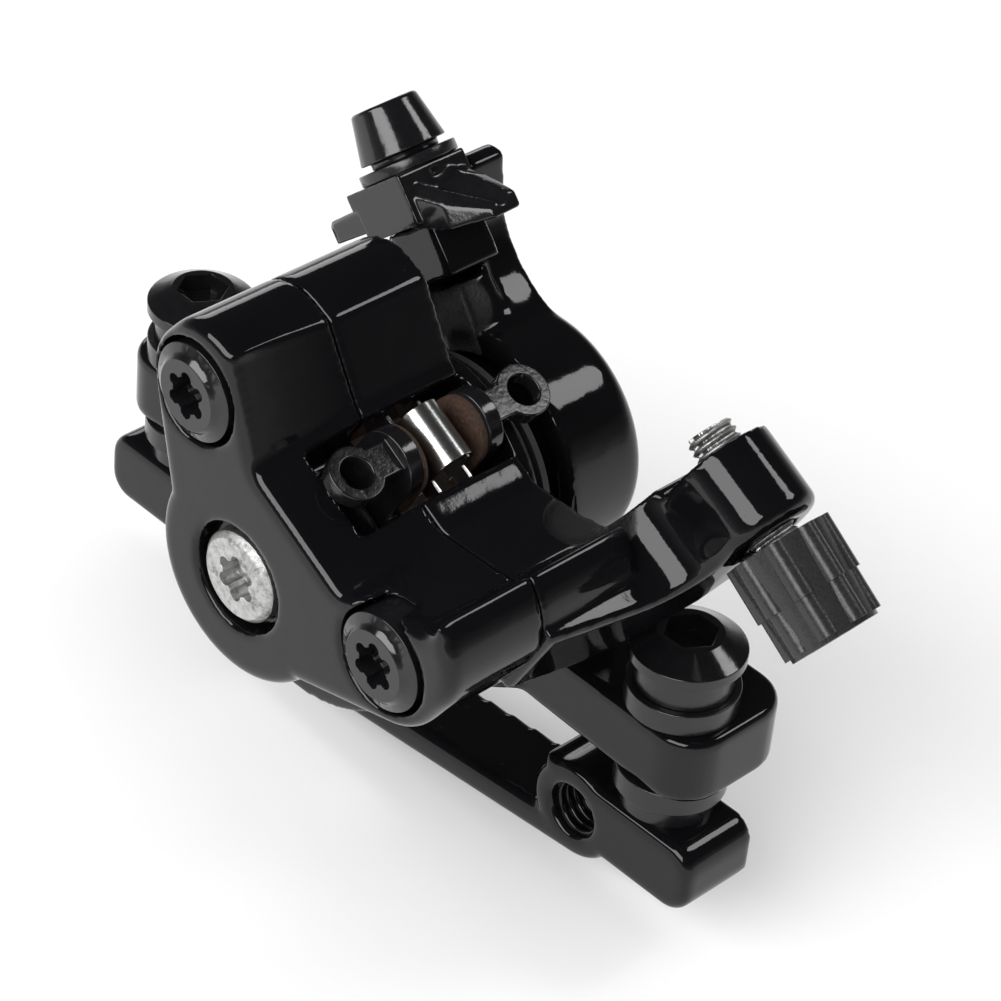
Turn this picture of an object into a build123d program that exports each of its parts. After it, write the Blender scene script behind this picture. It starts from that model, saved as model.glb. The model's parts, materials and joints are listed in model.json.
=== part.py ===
from build123d import *
from math import cos, radians, sin
import os

# Mechanical disc brake caliper with its frame bracket.
# Origin: axis of the upper frame hole, on the bracket's frame face.
# +Y points to the frame; +Z runs up along the two mounting bolts.

# Shared clearances
fit_gap = 0.05
thread_gap = 0.02
moving_gap = 0.3
overrun = 1.0

# Bracket
frame_hole_spacing = 51.0
frame_hole_tilt = 5.9
frame_hole_radius = 3.0
frame_hole_countersink = 0.4
frame_boss_radius = 5.7
bracket_thickness = 9.5
seat_rise = 5.0
block_height = 8.4
block_width = 21.0
block_end_beyond_post = 8.5
bar_height = 3.6
bracket_corner = 3.0
bracket_edge = 1.1

# Mounting bolts and the ball washers under and over the ears
post_spacing = 74.0
post_from_frame_hole = 7.9
post_from_frame_face = 4.0
post_bolt_radius = 3.0
post_bolt_thread_length = 9.6
post_head_radius = 6.0
post_head_height = 2.8
post_head_dome = 1.9
post_head_rim = 1.2
post_socket_across = 5.0
post_socket_depth = 2.2
post_socket_mouth_radius = 3.4
washer_radius = 5.87
washer_bore_radius = 3.5
cup_height = 2.6
ball_height = 2.2
upper_ball_height = 3.4
ball_sphere_radius = 8.0
washer_lip = 0.8

# Ears of the outer housing, with slots that let the caliper centre on the rotor
ear_thickness = 8.0
ear_front = 5.8
ear_back = 10.6
ear_end_beyond_post = 6.9
ear_corner = 4.6
ear_left_reach = 29.0
ear_right_reach = 17.0
ear_edge = 0.9
centring_travel = 1.2
slot_clearance = 0.3
web_front = 10.0
web_back = 0.7

# Piston axis, seen from the frame hole, and the rotor's middle plane
piston_from_hole_x = -22.3
piston_from_hole_z = 30.3
core_lean = 28.6
rotor_from_frame_face = 19.5
rotor_radius = 80.0
rotor_overlap = 9.0
rotor_slot_width = 6.8
rotor_relief_radius = 81.4

# Housing halves, as depths from the rotor's middle plane
face_depth = 17.5
seam_depth = 5.5
flange_depth = 9.0
bridge_depth = 6.9
outer_wall_depth = 9.5
neck_depth = 20.5
left_bolt_t = -15.0
right_bolt_t = 16.5
body_bolt_r = 12.5
left_lobe_radius = 6.5
left_crown_radius = 6.1
left_crown_r = 14.5
right_lobe_radius = 7.1
right_crown_radius = 7.0
right_crown_t = 17.0
right_crown_r = 16.4
web_core_radius = 9.2
nose_radius = 11.5
cavity_flange_radius = 17.9
outer_wall_radius = 15.4
neck_radius = 10.0
neck_wall = 1.6
seam_valley_r = 16.0
face_valley_r = 12.6
valley_left_t = -5.0
valley_right_t = 8.9
valley_bank_t = 9.2
seam_bank_r = 5.4
face_bank_r = 8.2
valley_bend = 2.8
valley_headroom = 4.6
flange_top_r = 5.2
casting_edge = 1.5
seam_edge = 0.35

# Pads and the opening that they hang through
pad_radius = 11.2
pad_pocket_gap = 0.25
pad_gap_half = 2.2
friction_thickness = 2.1
plate_thickness = 1.8
neck_middle_t = 0.6
pad_neck_half = 3.6
pad_neck_top_r = 19.0
friction_neck_top_r = 18.4
friction_neck_step = 1.4
window_half = 4.9
window_front_depth = 12.0
tab_base_r = 16.0
tab_length = 4.8
eyelet_radius = 2.9
eyelet_hole_radius = 1.7
spring_width = 6.4
spring_thickness = 0.4
spring_half = 2.2
spring_top_r = 18.2
spring_ear_r = 13.4
spring_ear_height = 2.4

# Inner side: pad adjuster
foot_radius = 7.6
foot_flange = 2.2
foot_length = 7.3
foot_sleeve_radius = 6.0
adjuster_radius = 4.9
adjuster_height = 2.0
adjuster_shaft_radius = 3.9
adjuster_shaft_length = 7.0
adjuster_edge = 0.6
adjuster_recess_radius = 5.9
adjuster_recess_depth = 2.6
adjuster_wall = 1.2
star_radius = 2.6
star_root_radius = 1.9
star_points = 6
star_depth = 2.2

# Body bolts
body_bolt_radius = 3.0
body_bolt_head_radius = 5.15
body_bolt_head_height = 4.6
body_bolt_proud = 0.9
body_bolt_length = 19.0
body_bolt_edge = 0.9
body_bolt_step_radius = 4.3
body_bolt_step = 0.6
counterbore_radius = 5.6

# Outer side: ball ramp drive
pressure_foot_radius = 7.6
pressure_foot_height = 4.4
pressure_foot_stem_radius = 5.2
ramp_radius = 8.1
ramp_height = 4.1
drive_bore_radius = 8.4
ball_radius = 2.0
ball_ring_radius = 5.4
ball_count = 3
ball_groove_gap = 0.3
cam_gap = 1.0
cam_flange = 2.8
cam_shaft_radius = 3.9
bearing_height = 1.1
bearing_bore_gap = 0.3
boot_radius = 12.3
boot_height = 3.7
boot_bands = 5
boot_groove_depth = 0.9

# Lever
hub_radius = 13.2
hub_front_depth = 15.5
hub_spring_room = 2.6
hub_recess_radius = 10.6
hub_end_wall = 3.4
hub_edge = 2.8
arm_front_depth = 19.2
arm_back_step = 1.1
arm_edge = 1.3
arm_root = (-3.4, 12.0)
arm_dip = (-10.2, 10.7)
arm_rise = (-17.8, 13.6)
arm_horn = (-21.8, 19.0)
arm_horn_crown = (-23.4, 18.6)
arm_horn_end = (-24.0, 16.4)
arm_low_bend = (-17.6, 4.0)
arm_low_root = (-11.0, -6.6)
rib_tip_t = -20.2
rib_tip_r = 11.6
rib_tip_radius = 3.6
rib_waist_t = -8.5
rib_waist_r = 3.2
rib_waist_radius = 6.4
rib_rise = 4.4
rib_step_t = -15.0
rib_step = 1.3
return_wire_radius = 0.55
return_coil_radius = 9.4
lever_bolt_head_radius = 5.0
lever_bolt_head_height = 3.0
lever_bolt_radius = 2.5
lever_bolt_length = 7.0
lever_washer_radius = 6.2
lever_washer_height = 0.9
lever_socket_across = 4.0

# Cable clamp at the lever's tip
clamp_t = -22.5
clamp_r = 14.4
clamp_forward = 2.0
clamp_seat_step = 1.6
clamp_seat_gap = 0.2
clamp_turn = 160.0
clamp_plate_inner = 2.0
clamp_plate_outer = 3.3
clamp_plate_low = 3.9
clamp_plate_high = 4.9
clamp_plate_front = 5.6
clamp_lip = 0.6
clamp_lip_height = 1.8
clamp_boss_length = 6.0
clamp_plane_reach = 12.0
clamp_boss_low = 4.0
clamp_boss_high = 3.6
clamp_boss_front = 3.2
beak_knee_up = 9.0
beak_knee_front = 2.8
beak_reach = 13.4
beak_tip_front = 0.4
beak_tip_back = 1.6
beak_drop = 1.9
beak_tip_height = 1.2
beak_groove_radius = 0.8
beak_groove_front = 1.0
clamp_lug_length = 5.6
clamp_lug_low = 0.5
clamp_lug_high = 1.2
clamp_lug_front = 5.0
clamp_lug_back = 1.5
clamp_washer_radius = 5.2
clamp_washer_height = 1.2
clamp_bolt_radius = 2.5
clamp_bolt_length = 10.0
clamp_head_base_radius = 4.6
clamp_head_top_radius = 3.5
clamp_head_height = 5.2
clamp_head_edge = 0.5
clamp_collar_radius = 3.6
clamp_collar_height = 0.7

# Cable stop arm and barrel adjuster
stop_root_t = 17.0
stop_face_t = 24.2
stop_end_t = 27.0
stop_top_r = 20.3
stop_low_r = 9.4
stop_low_depth = 4.5
stop_hollow_depth = 12.5
stop_hollow_r = 14.2
stop_slant_depth = 14.0
stop_bend_radius = 6.5
stop_boss_depth = 17.0
stop_boss_r = 28.1
stop_boss_radius = 5.6
stop_start_t = 18.0
stop_back_r = 21.0
stop_edge = 1.3
barrel_drop = 6.8
barrel_radius = 2.5
barrel_bore_radius = 1.3
barrel_stub = 2.8
barrel_in_knob = 3.4
knob_gap = 0.8
knob_length = 10.6
knob_radius = 5.2
knob_end_radius = 4.7
knob_bore_radius = 3.1
knob_bore_length = 6.0
knob_rib_count = 8
knob_rib_radius = 1.25
knob_rib_proud = 0.45
knob_rib_length = 5.8
knob_step = 0.35

# Derived places
rotor_y = -rotor_from_frame_face
lean = radians(core_lean)
toward_t = (cos(lean), 0, -sin(lean))
toward_r = (sin(lean), 0, cos(lean))
core_origin = (piston_from_hole_x, rotor_y, piston_from_hole_z)
core_axis = Axis(core_origin, (0, 1, 0))
half_slot = rotor_slot_width / 2
slot_floor_r = rotor_overlap + rotor_relief_radius - rotor_radius
rotor_centre_r = rotor_overlap - rotor_radius
post_right_x = post_from_frame_hole
post_left_x = post_from_frame_hole - post_spacing
post_y = -post_from_frame_face
lower_ball_z = seat_rise
lower_cup_z = lower_ball_z + ball_height
ear_bottom_z = lower_cup_z + cup_height
ear_top_z = ear_bottom_z + ear_thickness
upper_cup_z = ear_top_z
upper_ball_z = upper_cup_z + cup_height
head_z = upper_ball_z + upper_ball_height
frame_hole_far_x = -frame_hole_spacing * cos(radians(frame_hole_tilt))
frame_hole_far_z = -frame_hole_spacing * sin(radians(frame_hole_tilt))
pad_back_depth = pad_gap_half + friction_thickness + plate_thickness
pocket_depth = pad_back_depth + moving_gap
cam_front_depth = pad_back_depth + pressure_foot_height + ramp_height + cam_gap
cam_back_depth = cam_front_depth + cam_flange
hub_back_depth = neck_depth + hub_spring_room + hub_end_wall
arm_back_depth = hub_back_depth - arm_back_step
rib_front_depth = arm_front_depth - rib_rise
clamp_depth = arm_front_depth - clamp_forward
clamp_seat_depth = arm_front_depth + clamp_seat_step
clamp_plate_back = clamp_seat_depth - clamp_depth - clamp_seat_gap
valley_top_r = seam_valley_r + seam_bank_r + valley_headroom
spring_foot_r = pad_radius + moving_gap
bearing_back_depth = cam_back_depth + bearing_height


def core_plane(depth):
    """Plane across the piston axis: x is t, y is r, and extrusions come to the front."""
    origin = (piston_from_hole_x, rotor_y + depth, piston_from_hole_z)
    return Plane(origin=origin, x_dir=toward_t, z_dir=(0, -1, 0))


def core_point(t, r, depth):
    """Place of (t, r) at a depth behind the rotor's middle plane."""
    x = piston_from_hole_x + t * toward_t[0] + r * toward_r[0]
    z = piston_from_hole_z + t * toward_t[2] + r * toward_r[2]
    return (x, rotor_y + depth, z)


def core_direction(pair):
    """Direction in the frame of a (t, r) direction."""
    return tuple(pair[0] * toward_t[i] + pair[1] * toward_r[i] for i in range(3))


barrel_tilt = radians(barrel_drop)
barrel_direction = core_direction((cos(barrel_tilt), -sin(barrel_tilt)))


def barrel_plane(along):
    """Plane across the barrel, at a distance from the stop's end face."""
    reach = stop_end_t + along * cos(barrel_tilt)
    height = stop_boss_r - along * sin(barrel_tilt)
    origin = core_point(reach, height, stop_boss_depth)
    return Plane(origin=origin, x_dir=(0, 1, 0), z_dir=barrel_direction)


def turned(points, t=0, r=0, mode=Mode.ADD):
    """Ring about an axis along Y through (t, r); points are (radius, depth)."""
    foot = core_point(t, r, 0)
    with BuildSketch(Plane(origin=foot, x_dir=toward_t, z_dir=toward_r)) as profile:
        with BuildLine():
            Polyline(*points, close=True)
        make_face()
    revolve(profile.sketch, axis=Axis(foot, (0, 1, 0)), mode=mode)


def post_ring(x, points):
    """Ring about a mounting bolt; points are (radius, height)."""
    foot = (x, post_y, 0)
    with BuildSketch(Plane(origin=foot, x_dir=(1, 0, 0), z_dir=(0, -1, 0))) as profile:
        with BuildLine():
            Polyline(*points, close=True)
        make_face()
    revolve(profile.sketch, axis=Axis(foot, (0, 0, 1)))


def outer_edges(part, plane_axis=Axis.Y, last=True):
    """Edges round the face that lies furthest along an axis."""
    return part.faces().sort_by(plane_axis)[-1 if last else 0].edges()


def star_cut(plane, depth):
    """Six-pointed recess sunk from a plane."""
    with BuildSketch(plane) as star:
        Circle(star_root_radius)
        with PolarLocations(star_root_radius, star_points):
            Circle(star_radius - star_root_radius)
    extrude(star.sketch, amount=-depth, mode=Mode.SUBTRACT)


# Bracket: two blocks with bosses for the frame holes, joined by a low bar
with BuildPart() as adapter_bracket:
    right_end = post_right_x + block_end_beyond_post
    left_end = post_left_x - block_end_beyond_post
    block_low = seat_rise - block_height
    with BuildSketch(Plane.XZ):
        with Locations((right_end - block_width / 2, seat_rise - block_height / 2)):
            Rectangle(block_width, block_height)
        with Locations((left_end + block_width / 2, seat_rise - block_height / 2)):
            Rectangle(block_width, block_height)
        with Locations((0, 0), (frame_hole_far_x, frame_hole_far_z)):
            Circle(frame_boss_radius)
        with BuildLine():
            Polyline(
                (left_end + block_width / 2, block_low),
                (frame_hole_far_x - frame_boss_radius, frame_hole_far_z),
                (frame_hole_far_x, frame_hole_far_z + frame_boss_radius / 2),
                (left_end + block_width, seat_rise - bracket_corner),
                close=True,
            )
        make_face()
        bar_tilt = radians(frame_hole_tilt)
        bar_x = frame_boss_radius * sin(bar_tilt)
        bar_z = -frame_boss_radius * cos(bar_tilt)
        with BuildLine():
            Polyline(
                (frame_hole_far_x + bar_x, frame_hole_far_z + bar_z),
                (bar_x, bar_z),
                (0, bar_height - frame_boss_radius),
                (frame_hole_far_x, frame_hole_far_z - frame_boss_radius + bar_height),
                close=True,
            )
        make_face()
    extrude(amount=bracket_thickness)
    fillet(adapter_bracket.edges().filter_by(Axis.Y).group_by(Axis.X)[0], bracket_corner)
    fillet(adapter_bracket.edges().filter_by(Axis.Y).group_by(Axis.X)[-1], bracket_corner)
    fillet(outer_edges(adapter_bracket, last=False), bracket_edge)
    with BuildSketch(Plane.XZ):
        with Locations((0, 0), (frame_hole_far_x, frame_hole_far_z)):
            Circle(frame_hole_radius)
    extrude(amount=bracket_thickness, mode=Mode.SUBTRACT)
    chamfer(
        adapter_bracket.faces().sort_by(Axis.Y)[0].edges().filter_by(GeomType.CIRCLE)
        .filter_by(lambda edge: abs(edge.radius - frame_hole_radius) < fit_gap),
        frame_hole_countersink,
    )
    with BuildSketch(Plane.XY.offset(seat_rise)):
        with Locations((post_left_x, post_y), (post_right_x, post_y)):
            Circle(post_bolt_radius + thread_gap)
    extrude(amount=-block_height - overrun, mode=Mode.SUBTRACT)

# Mounting bolts
with BuildPart() as mount_bolts:
    for post_x in (post_left_x, post_right_x):
        bolt_end = head_z - ear_thickness - 2 * cup_height - ball_height - upper_ball_height
        post_ring(
            post_x,
            [
                (0, bolt_end - post_bolt_thread_length + overrun),
                (post_bolt_radius, bolt_end - post_bolt_thread_length + overrun),
                (post_bolt_radius, head_z),
                (post_head_radius, head_z),
                (post_head_radius, head_z + post_head_rim),
                (post_head_radius - post_head_rim, head_z + post_head_dome),
                (post_socket_mouth_radius, head_z + post_head_height),
                (0, head_z + post_head_height),
            ],
        )
    with BuildSketch(Plane.XY.offset(head_z + post_head_height)):
        with Locations((post_left_x, post_y), (post_right_x, post_y)):
            RegularPolygon(post_socket_across / 2, 6, major_radius=False)
    extrude(amount=-post_socket_depth, mode=Mode.SUBTRACT)


def cup_and_ball(flat_z, up):
    """Cup on a flat seat; the ball washer nests into it. up is 1 or -1, away from the ear."""
    dish = washer_radius - washer_lip
    drop = ball_sphere_radius - (ball_sphere_radius ** 2 - dish ** 2) ** 0.5
    bore_drop = ball_sphere_radius - (ball_sphere_radius ** 2 - washer_bore_radius ** 2) ** 0.5
    middle = (dish + washer_bore_radius) / 2
    middle_drop = ball_sphere_radius - (ball_sphere_radius ** 2 - middle ** 2) ** 0.5
    lip_z = flat_z + up * cup_height
    low = [
        (washer_bore_radius, lip_z - up * (drop - bore_drop)),
        (middle, lip_z - up * (drop - middle_drop)),
        (dish, lip_z),
    ]
    return low


def cup_washer(x, flat_z, up):
    """Ring with a hollow spherical seat."""
    low = cup_and_ball(flat_z, up)
    foot = (x, post_y, 0)
    with BuildSketch(Plane(origin=foot, x_dir=(1, 0, 0), z_dir=(0, -1, 0))) as profile:
        with BuildLine():
            ThreePointArc(*low)
            Polyline(
                low[2],
                (washer_radius, low[2][1]),
                (washer_radius, flat_z),
                (washer_bore_radius, flat_z),
                low[0],
            )
        make_face()
    revolve(profile.sketch, axis=Axis(foot, (0, 0, 1)))


def ball_washer(x, flat_z, up, height):
    """Ring with a spherical face that lies in the cup."""
    low = [(radius, z + up * fit_gap) for radius, z in cup_and_ball(flat_z, up)]
    far_z = flat_z + up * (cup_height + height)
    foot = (x, post_y, 0)
    with BuildSketch(Plane(origin=foot, x_dir=(1, 0, 0), z_dir=(0, -1, 0))) as profile:
        with BuildLine():
            ThreePointArc(*low)
            Polyline(low[2], (low[2][0], far_z), (washer_bore_radius, far_z), low[0])
        make_face()
    revolve(profile.sketch, axis=Axis(foot, (0, 0, 1)))


with BuildPart() as upper_cup_washers:
    for post_x in (post_left_x, post_right_x):
        cup_washer(post_x, ear_top_z, 1)
with BuildPart() as upper_ball_washers:
    for post_x in (post_left_x, post_right_x):
        ball_washer(post_x, ear_top_z, 1, upper_ball_height)
with BuildPart() as lower_cup_washers:
    for post_x in (post_left_x, post_right_x):
        cup_washer(post_x, ear_bottom_z, -1)
with BuildPart() as lower_ball_washers:
    for post_x in (post_left_x, post_right_x):
        ball_washer(post_x, ear_bottom_z, -1, ball_height)


def housing_outline():
    """Two bolt lobes and a round nose about the piston axis, drawn on a core plane."""
    with Locations((left_bolt_t, body_bolt_r)):
        Circle(left_lobe_radius)
    with Locations((left_bolt_t, left_crown_r)):
        Circle(left_crown_radius)
    Circle(web_core_radius)
    with Locations((right_bolt_t, body_bolt_r)):
        Circle(right_lobe_radius)
    with Locations((right_crown_t, right_crown_r)):
        Circle(right_crown_radius)
    make_hull()


def valley_wire(floor_r, bank_r):
    """Closed outline of the valley between the lobes, open to the top."""
    top_r = floor_r + bank_r + valley_headroom
    FilletPolyline(
        (valley_left_t - valley_bank_t, top_r),
        (valley_left_t - valley_bank_t, floor_r + bank_r),
        (valley_left_t, floor_r),
        (valley_right_t, floor_r),
        (valley_right_t + valley_bank_t, floor_r + bank_r),
        (valley_right_t + valley_bank_t, top_r),
        radius=valley_bend,
    )
    Line(
        (valley_right_t + valley_bank_t, top_r),
        (valley_left_t - valley_bank_t, top_r),
    )


def window_cut():
    """Opening over the rotor that the pads' necks stand in."""
    height = valley_top_r - slot_floor_r + overrun
    with BuildSketch(core_plane(bridge_depth + overrun)) as window:
        with Locations((neck_middle_t, slot_floor_r - overrun + height / 2)):
            Rectangle(2 * window_half, height)
    through = bridge_depth + overrun + window_front_depth
    extrude(window.sketch, amount=through, mode=Mode.SUBTRACT)


def rotor_cut(front_depth):
    """Slot that the rotor turns in, up to a depth in front of the rotor."""
    with BuildSketch(core_plane(half_slot)) as disc:
        with Locations((0, rotor_centre_r)):
            Circle(rotor_relief_radius)
    extrude(disc.sketch, amount=half_slot + front_depth, mode=Mode.SUBTRACT)


# Inner housing half: face with two bolt seats and the adjuster's recess
with BuildPart() as inner_housing:
    with BuildSketch(core_plane(-seam_depth)):
        housing_outline()
        Circle(nose_radius)
    extrude(amount=face_depth - seam_depth)
    with BuildSketch(core_plane(-seam_depth)) as seam_valley:
        with BuildLine():
            valley_wire(seam_valley_r, seam_bank_r)
        make_face()
    with BuildSketch(core_plane(-face_depth)) as face_valley:
        with BuildLine():
            valley_wire(face_valley_r, face_bank_r)
        make_face()
    loft(ruled=True, mode=Mode.SUBTRACT)
    fillet(outer_edges(inner_housing, last=False), casting_edge)
    with BuildSketch(core_plane(-half_slot)):
        Circle(cavity_flange_radius)
        with BuildLine():
            Polyline(
                (-cavity_flange_radius, cavity_flange_radius + overrun),
                (-cavity_flange_radius, flange_top_r),
                (cavity_flange_radius, flange_top_r),
                (cavity_flange_radius, cavity_flange_radius + overrun),
                close=True,
            )
        make_face(mode=Mode.SUBTRACT)
    extrude(amount=flange_depth - half_slot)
    turned(
        [
            (0, -half_slot + overrun),
            (pad_radius + pad_pocket_gap, -half_slot + overrun),
            (pad_radius + pad_pocket_gap, -pocket_depth),
            (foot_radius + moving_gap, -pocket_depth),
            (foot_radius + moving_gap, adjuster_recess_depth - face_depth + adjuster_wall),
            (adjuster_shaft_radius + fit_gap, adjuster_recess_depth - face_depth + adjuster_wall),
            (adjuster_shaft_radius + fit_gap, adjuster_recess_depth - face_depth),
            (adjuster_recess_radius, adjuster_recess_depth - face_depth),
            (adjuster_recess_radius, -face_depth - overrun),
            (0, -face_depth - overrun),
        ],
        mode=Mode.SUBTRACT,
    )
    for bolt_t in (left_bolt_t, right_bolt_t):
        seat = body_bolt_head_height - body_bolt_proud - face_depth
        turned(
            [
                (0, -seam_depth + overrun),
                (body_bolt_radius + moving_gap, -seam_depth + overrun),
                (body_bolt_radius + moving_gap, seat),
                (counterbore_radius, seat),
                (counterbore_radius, -face_depth - overrun),
                (0, -face_depth - overrun),
            ],
            bolt_t,
            body_bolt_r,
            mode=Mode.SUBTRACT,
        )
    window_cut()
    rotor_cut(half_slot)

# Outer housing half: ears, web, bridge over the rotor, drive cylinder and cable stop arm
with BuildPart() as outer_housing:
    ear_low_y = post_y - ear_front + washer_lip
    ear_front_y = post_y - ear_front
    ear_back_y = ear_front_y + ear_back + ear_front - washer_lip
    web_front_y = post_y - web_front
    web_back_y = post_y - web_back
    with BuildSketch(Plane.XY.offset(ear_bottom_z)) as ear_plan:
        with BuildLine():
            FilletPolyline(
                (post_left_x - ear_end_beyond_post, ear_back_y),
                (post_left_x + ear_left_reach, ear_back_y),
                (post_left_x + ear_left_reach, web_back_y),
                (post_right_x - ear_right_reach, web_back_y),
                (post_right_x - ear_right_reach, ear_back_y),
                (post_right_x + ear_end_beyond_post, ear_back_y),
                (post_right_x + ear_end_beyond_post, ear_front_y),
                (post_right_x - ear_right_reach, ear_low_y),
                (post_right_x - ear_right_reach - ear_corner, web_front_y),
                (post_left_x + ear_left_reach + ear_corner, web_front_y),
                (post_left_x + ear_left_reach, ear_low_y),
                (post_left_x - ear_end_beyond_post, ear_front_y),
                radius=[
                    ear_corner, ear_edge, ear_edge, ear_edge, ear_edge, ear_corner,
                    ear_corner, ear_edge, ear_edge, ear_edge, ear_edge, ear_corner,
                ],
                close=True,
            )
        make_face()
    extrude(amount=ear_thickness)
    fillet(outer_edges(outer_housing, Axis.Z), ear_edge)
    fillet(outer_edges(outer_housing, Axis.Z, last=False), ear_edge)
    with BuildSketch(core_plane(bridge_depth)):
        housing_outline()
        with BuildLine():
            valley_wire(seam_valley_r, seam_bank_r)
        make_face(mode=Mode.SUBTRACT)
    extrude(amount=bridge_depth + seam_depth)
    fillet(outer_edges(outer_housing, last=False), seam_edge)
    with BuildSketch(core_plane(outer_wall_depth)):
        Circle(outer_wall_radius)
    extrude(amount=outer_wall_depth - half_slot)
    with BuildSketch(core_plane(neck_depth)):
        Circle(neck_radius)
    extrude(amount=neck_depth - outer_wall_depth)

    # Cable stop arm: its section lies across t, and its end is round about the barrel
    with BuildPart(mode=Mode.PRIVATE) as stop_arm:
        boss_front_depth = stop_boss_depth - stop_boss_radius
        boss_back_depth = stop_boss_depth + stop_boss_radius
        front_bend = min(stop_bend_radius, stop_boss_r - stop_top_r - fit_gap)
        back_bend = min(stop_bend_radius, stop_boss_r - stop_back_r - fit_gap)
        root = core_point(stop_root_t, 0, 0)
        with BuildSketch(Plane(origin=root, x_dir=(0, 1, 0), z_dir=toward_t)):
            with BuildLine():
                FilletPolyline(
                    (-seam_depth, stop_top_r),
                    (boss_front_depth, stop_top_r),
                    (boss_front_depth, stop_boss_r),
                    radius=front_bend,
                )
                ThreePointArc(
                    (boss_front_depth, stop_boss_r),
                    (stop_boss_depth, stop_boss_r + stop_boss_radius),
                    (boss_back_depth, stop_boss_r),
                )
                FilletPolyline(
                    (boss_back_depth, stop_boss_r),
                    (boss_back_depth, stop_back_r),
                    (stop_hollow_depth, stop_hollow_r),
                    (stop_low_depth, stop_low_r),
                    (-seam_depth, stop_low_r),
                    radius=back_bend,
                )
                Line((-seam_depth, stop_low_r), (-seam_depth, stop_top_r))
            make_face()
        extrude(amount=stop_end_t - stop_root_t)
        end_axis = Axis(core_point(0, 0, 0), toward_t)
        fillet(stop_arm.faces().sort_by(end_axis)[-1].edges(), stop_edge)
        over_top = Plane(
            origin=core_point(0, stop_low_r - overrun, 0),
            x_dir=toward_t,
            z_dir=(-toward_r[0], 0, -toward_r[2]),
        )
        with BuildSketch(over_top):
            with BuildLine():
                Polyline(
                    (stop_face_t, seam_depth + overrun),
                    (stop_face_t, seam_depth),
                    (stop_end_t, -stop_slant_depth),
                    (stop_end_t + overrun, -stop_slant_depth),
                    (stop_end_t + overrun, seam_depth + overrun),
                    close=True,
                )
            make_face()
        extrude(amount=-(stop_boss_r + stop_boss_radius), mode=Mode.SUBTRACT)
        slant = stop_arm.faces().filter_by(GeomType.PLANE).sort_by(end_axis)[-2]
        fillet(slant.edges().filter_by(Axis.X, reverse=True), stop_edge / 2)
    add(stop_arm.part)

    # Bores: pad pocket, drive bore, and the hole for the cam's shaft
    turned(
        [
            (0, half_slot - overrun),
            (pad_radius + pad_pocket_gap, half_slot - overrun),
            (pad_radius + pad_pocket_gap, pocket_depth),
            (drive_bore_radius, pocket_depth),
            (drive_bore_radius, bearing_back_depth),
            (cam_shaft_radius + fit_gap, bearing_back_depth),
            (cam_shaft_radius + fit_gap, neck_depth + overrun),
            (0, neck_depth + overrun),
        ],
        mode=Mode.SUBTRACT,
    )
    rotor_cut(seam_depth + overrun)
    window_cut()
    for bolt_t in (left_bolt_t, right_bolt_t):
        bolt_end = body_bolt_length + body_bolt_head_height - body_bolt_proud - face_depth
        turned(
            [
                (0, -seam_depth - overrun),
                (body_bolt_radius + thread_gap, -seam_depth - overrun),
                (body_bolt_radius + thread_gap, bolt_end + overrun),
                (0, bolt_end + overrun),
            ],
            bolt_t,
            body_bolt_r,
            mode=Mode.SUBTRACT,
        )
    with BuildSketch(Plane.XY.offset(ear_bottom_z - overrun)):
        with Locations((post_left_x, post_y), (post_right_x, post_y)):
            SlotCenterToCenter(
                2 * (centring_travel + slot_clearance), 2 * washer_bore_radius, rotation=90
            )
    extrude(amount=ear_thickness + 2 * overrun, mode=Mode.SUBTRACT)
    with BuildSketch(barrel_plane(overrun)):
        Circle(barrel_radius + thread_gap)
    extrude(amount=stop_start_t - stop_end_t - 2 * overrun, mode=Mode.SUBTRACT)
    over_boss = Plane(origin=core_point(stop_start_t, 0, 0), x_dir=(0, 1, 0), z_dir=toward_t)
    with BuildSketch(over_boss):
        with Locations((stop_boss_depth, stop_boss_r + stop_bend_radius / 2)):
            Rectangle(2 * stop_bend_radius, 2 * stop_bend_radius)
    extrude(amount=stop_root_t - stop_start_t - overrun, mode=Mode.SUBTRACT)


# Body bolts that clamp the inner half to the outer half
with BuildPart() as body_bolts:
    for bolt_t in (left_bolt_t, right_bolt_t):
        top = face_depth + body_bolt_proud
        under = top - body_bolt_head_height
        turned(
            [
                (0, -top),
                (body_bolt_step_radius - body_bolt_step, -top),
                (body_bolt_step_radius, body_bolt_step - top),
                (body_bolt_head_radius, body_bolt_edge - top),
                (body_bolt_head_radius, -under),
                (body_bolt_radius, -under),
                (body_bolt_radius, body_bolt_length - under),
                (0, body_bolt_length - under),
            ],
            bolt_t,
            body_bolt_r,
        )
        mouth = core_point(bolt_t, body_bolt_r, -top)
        star_cut(Plane(origin=mouth, x_dir=toward_t, z_dir=(0, -1, 0)), star_depth)

# Pad adjuster: a disc with a star recess, flush in the face, on a threaded shaft
with BuildPart() as pad_adjuster:
    turned(
        [
            (0, -face_depth),
            (adjuster_radius - adjuster_edge, -face_depth),
            (adjuster_radius, adjuster_edge - face_depth),
            (adjuster_radius, adjuster_height - face_depth),
            (adjuster_shaft_radius, adjuster_height - face_depth),
            (adjuster_shaft_radius, adjuster_height + adjuster_shaft_length - face_depth),
            (0, adjuster_height + adjuster_shaft_length - face_depth),
        ]
    )
    star_cut(core_plane(-face_depth), star_depth)

# Ring that seals the adjuster's shaft in its recess
with BuildPart() as adjuster_seal:
    seal_back = adjuster_recess_depth - face_depth
    seal_front = adjuster_height - face_depth + fit_gap
    turned(
        [
            (adjuster_shaft_radius + fit_gap, seal_front),
            (adjuster_shaft_radius + fit_gap, seal_back),
            (adjuster_radius, seal_back),
            (adjuster_radius, seal_front),
        ]
    )

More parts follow.
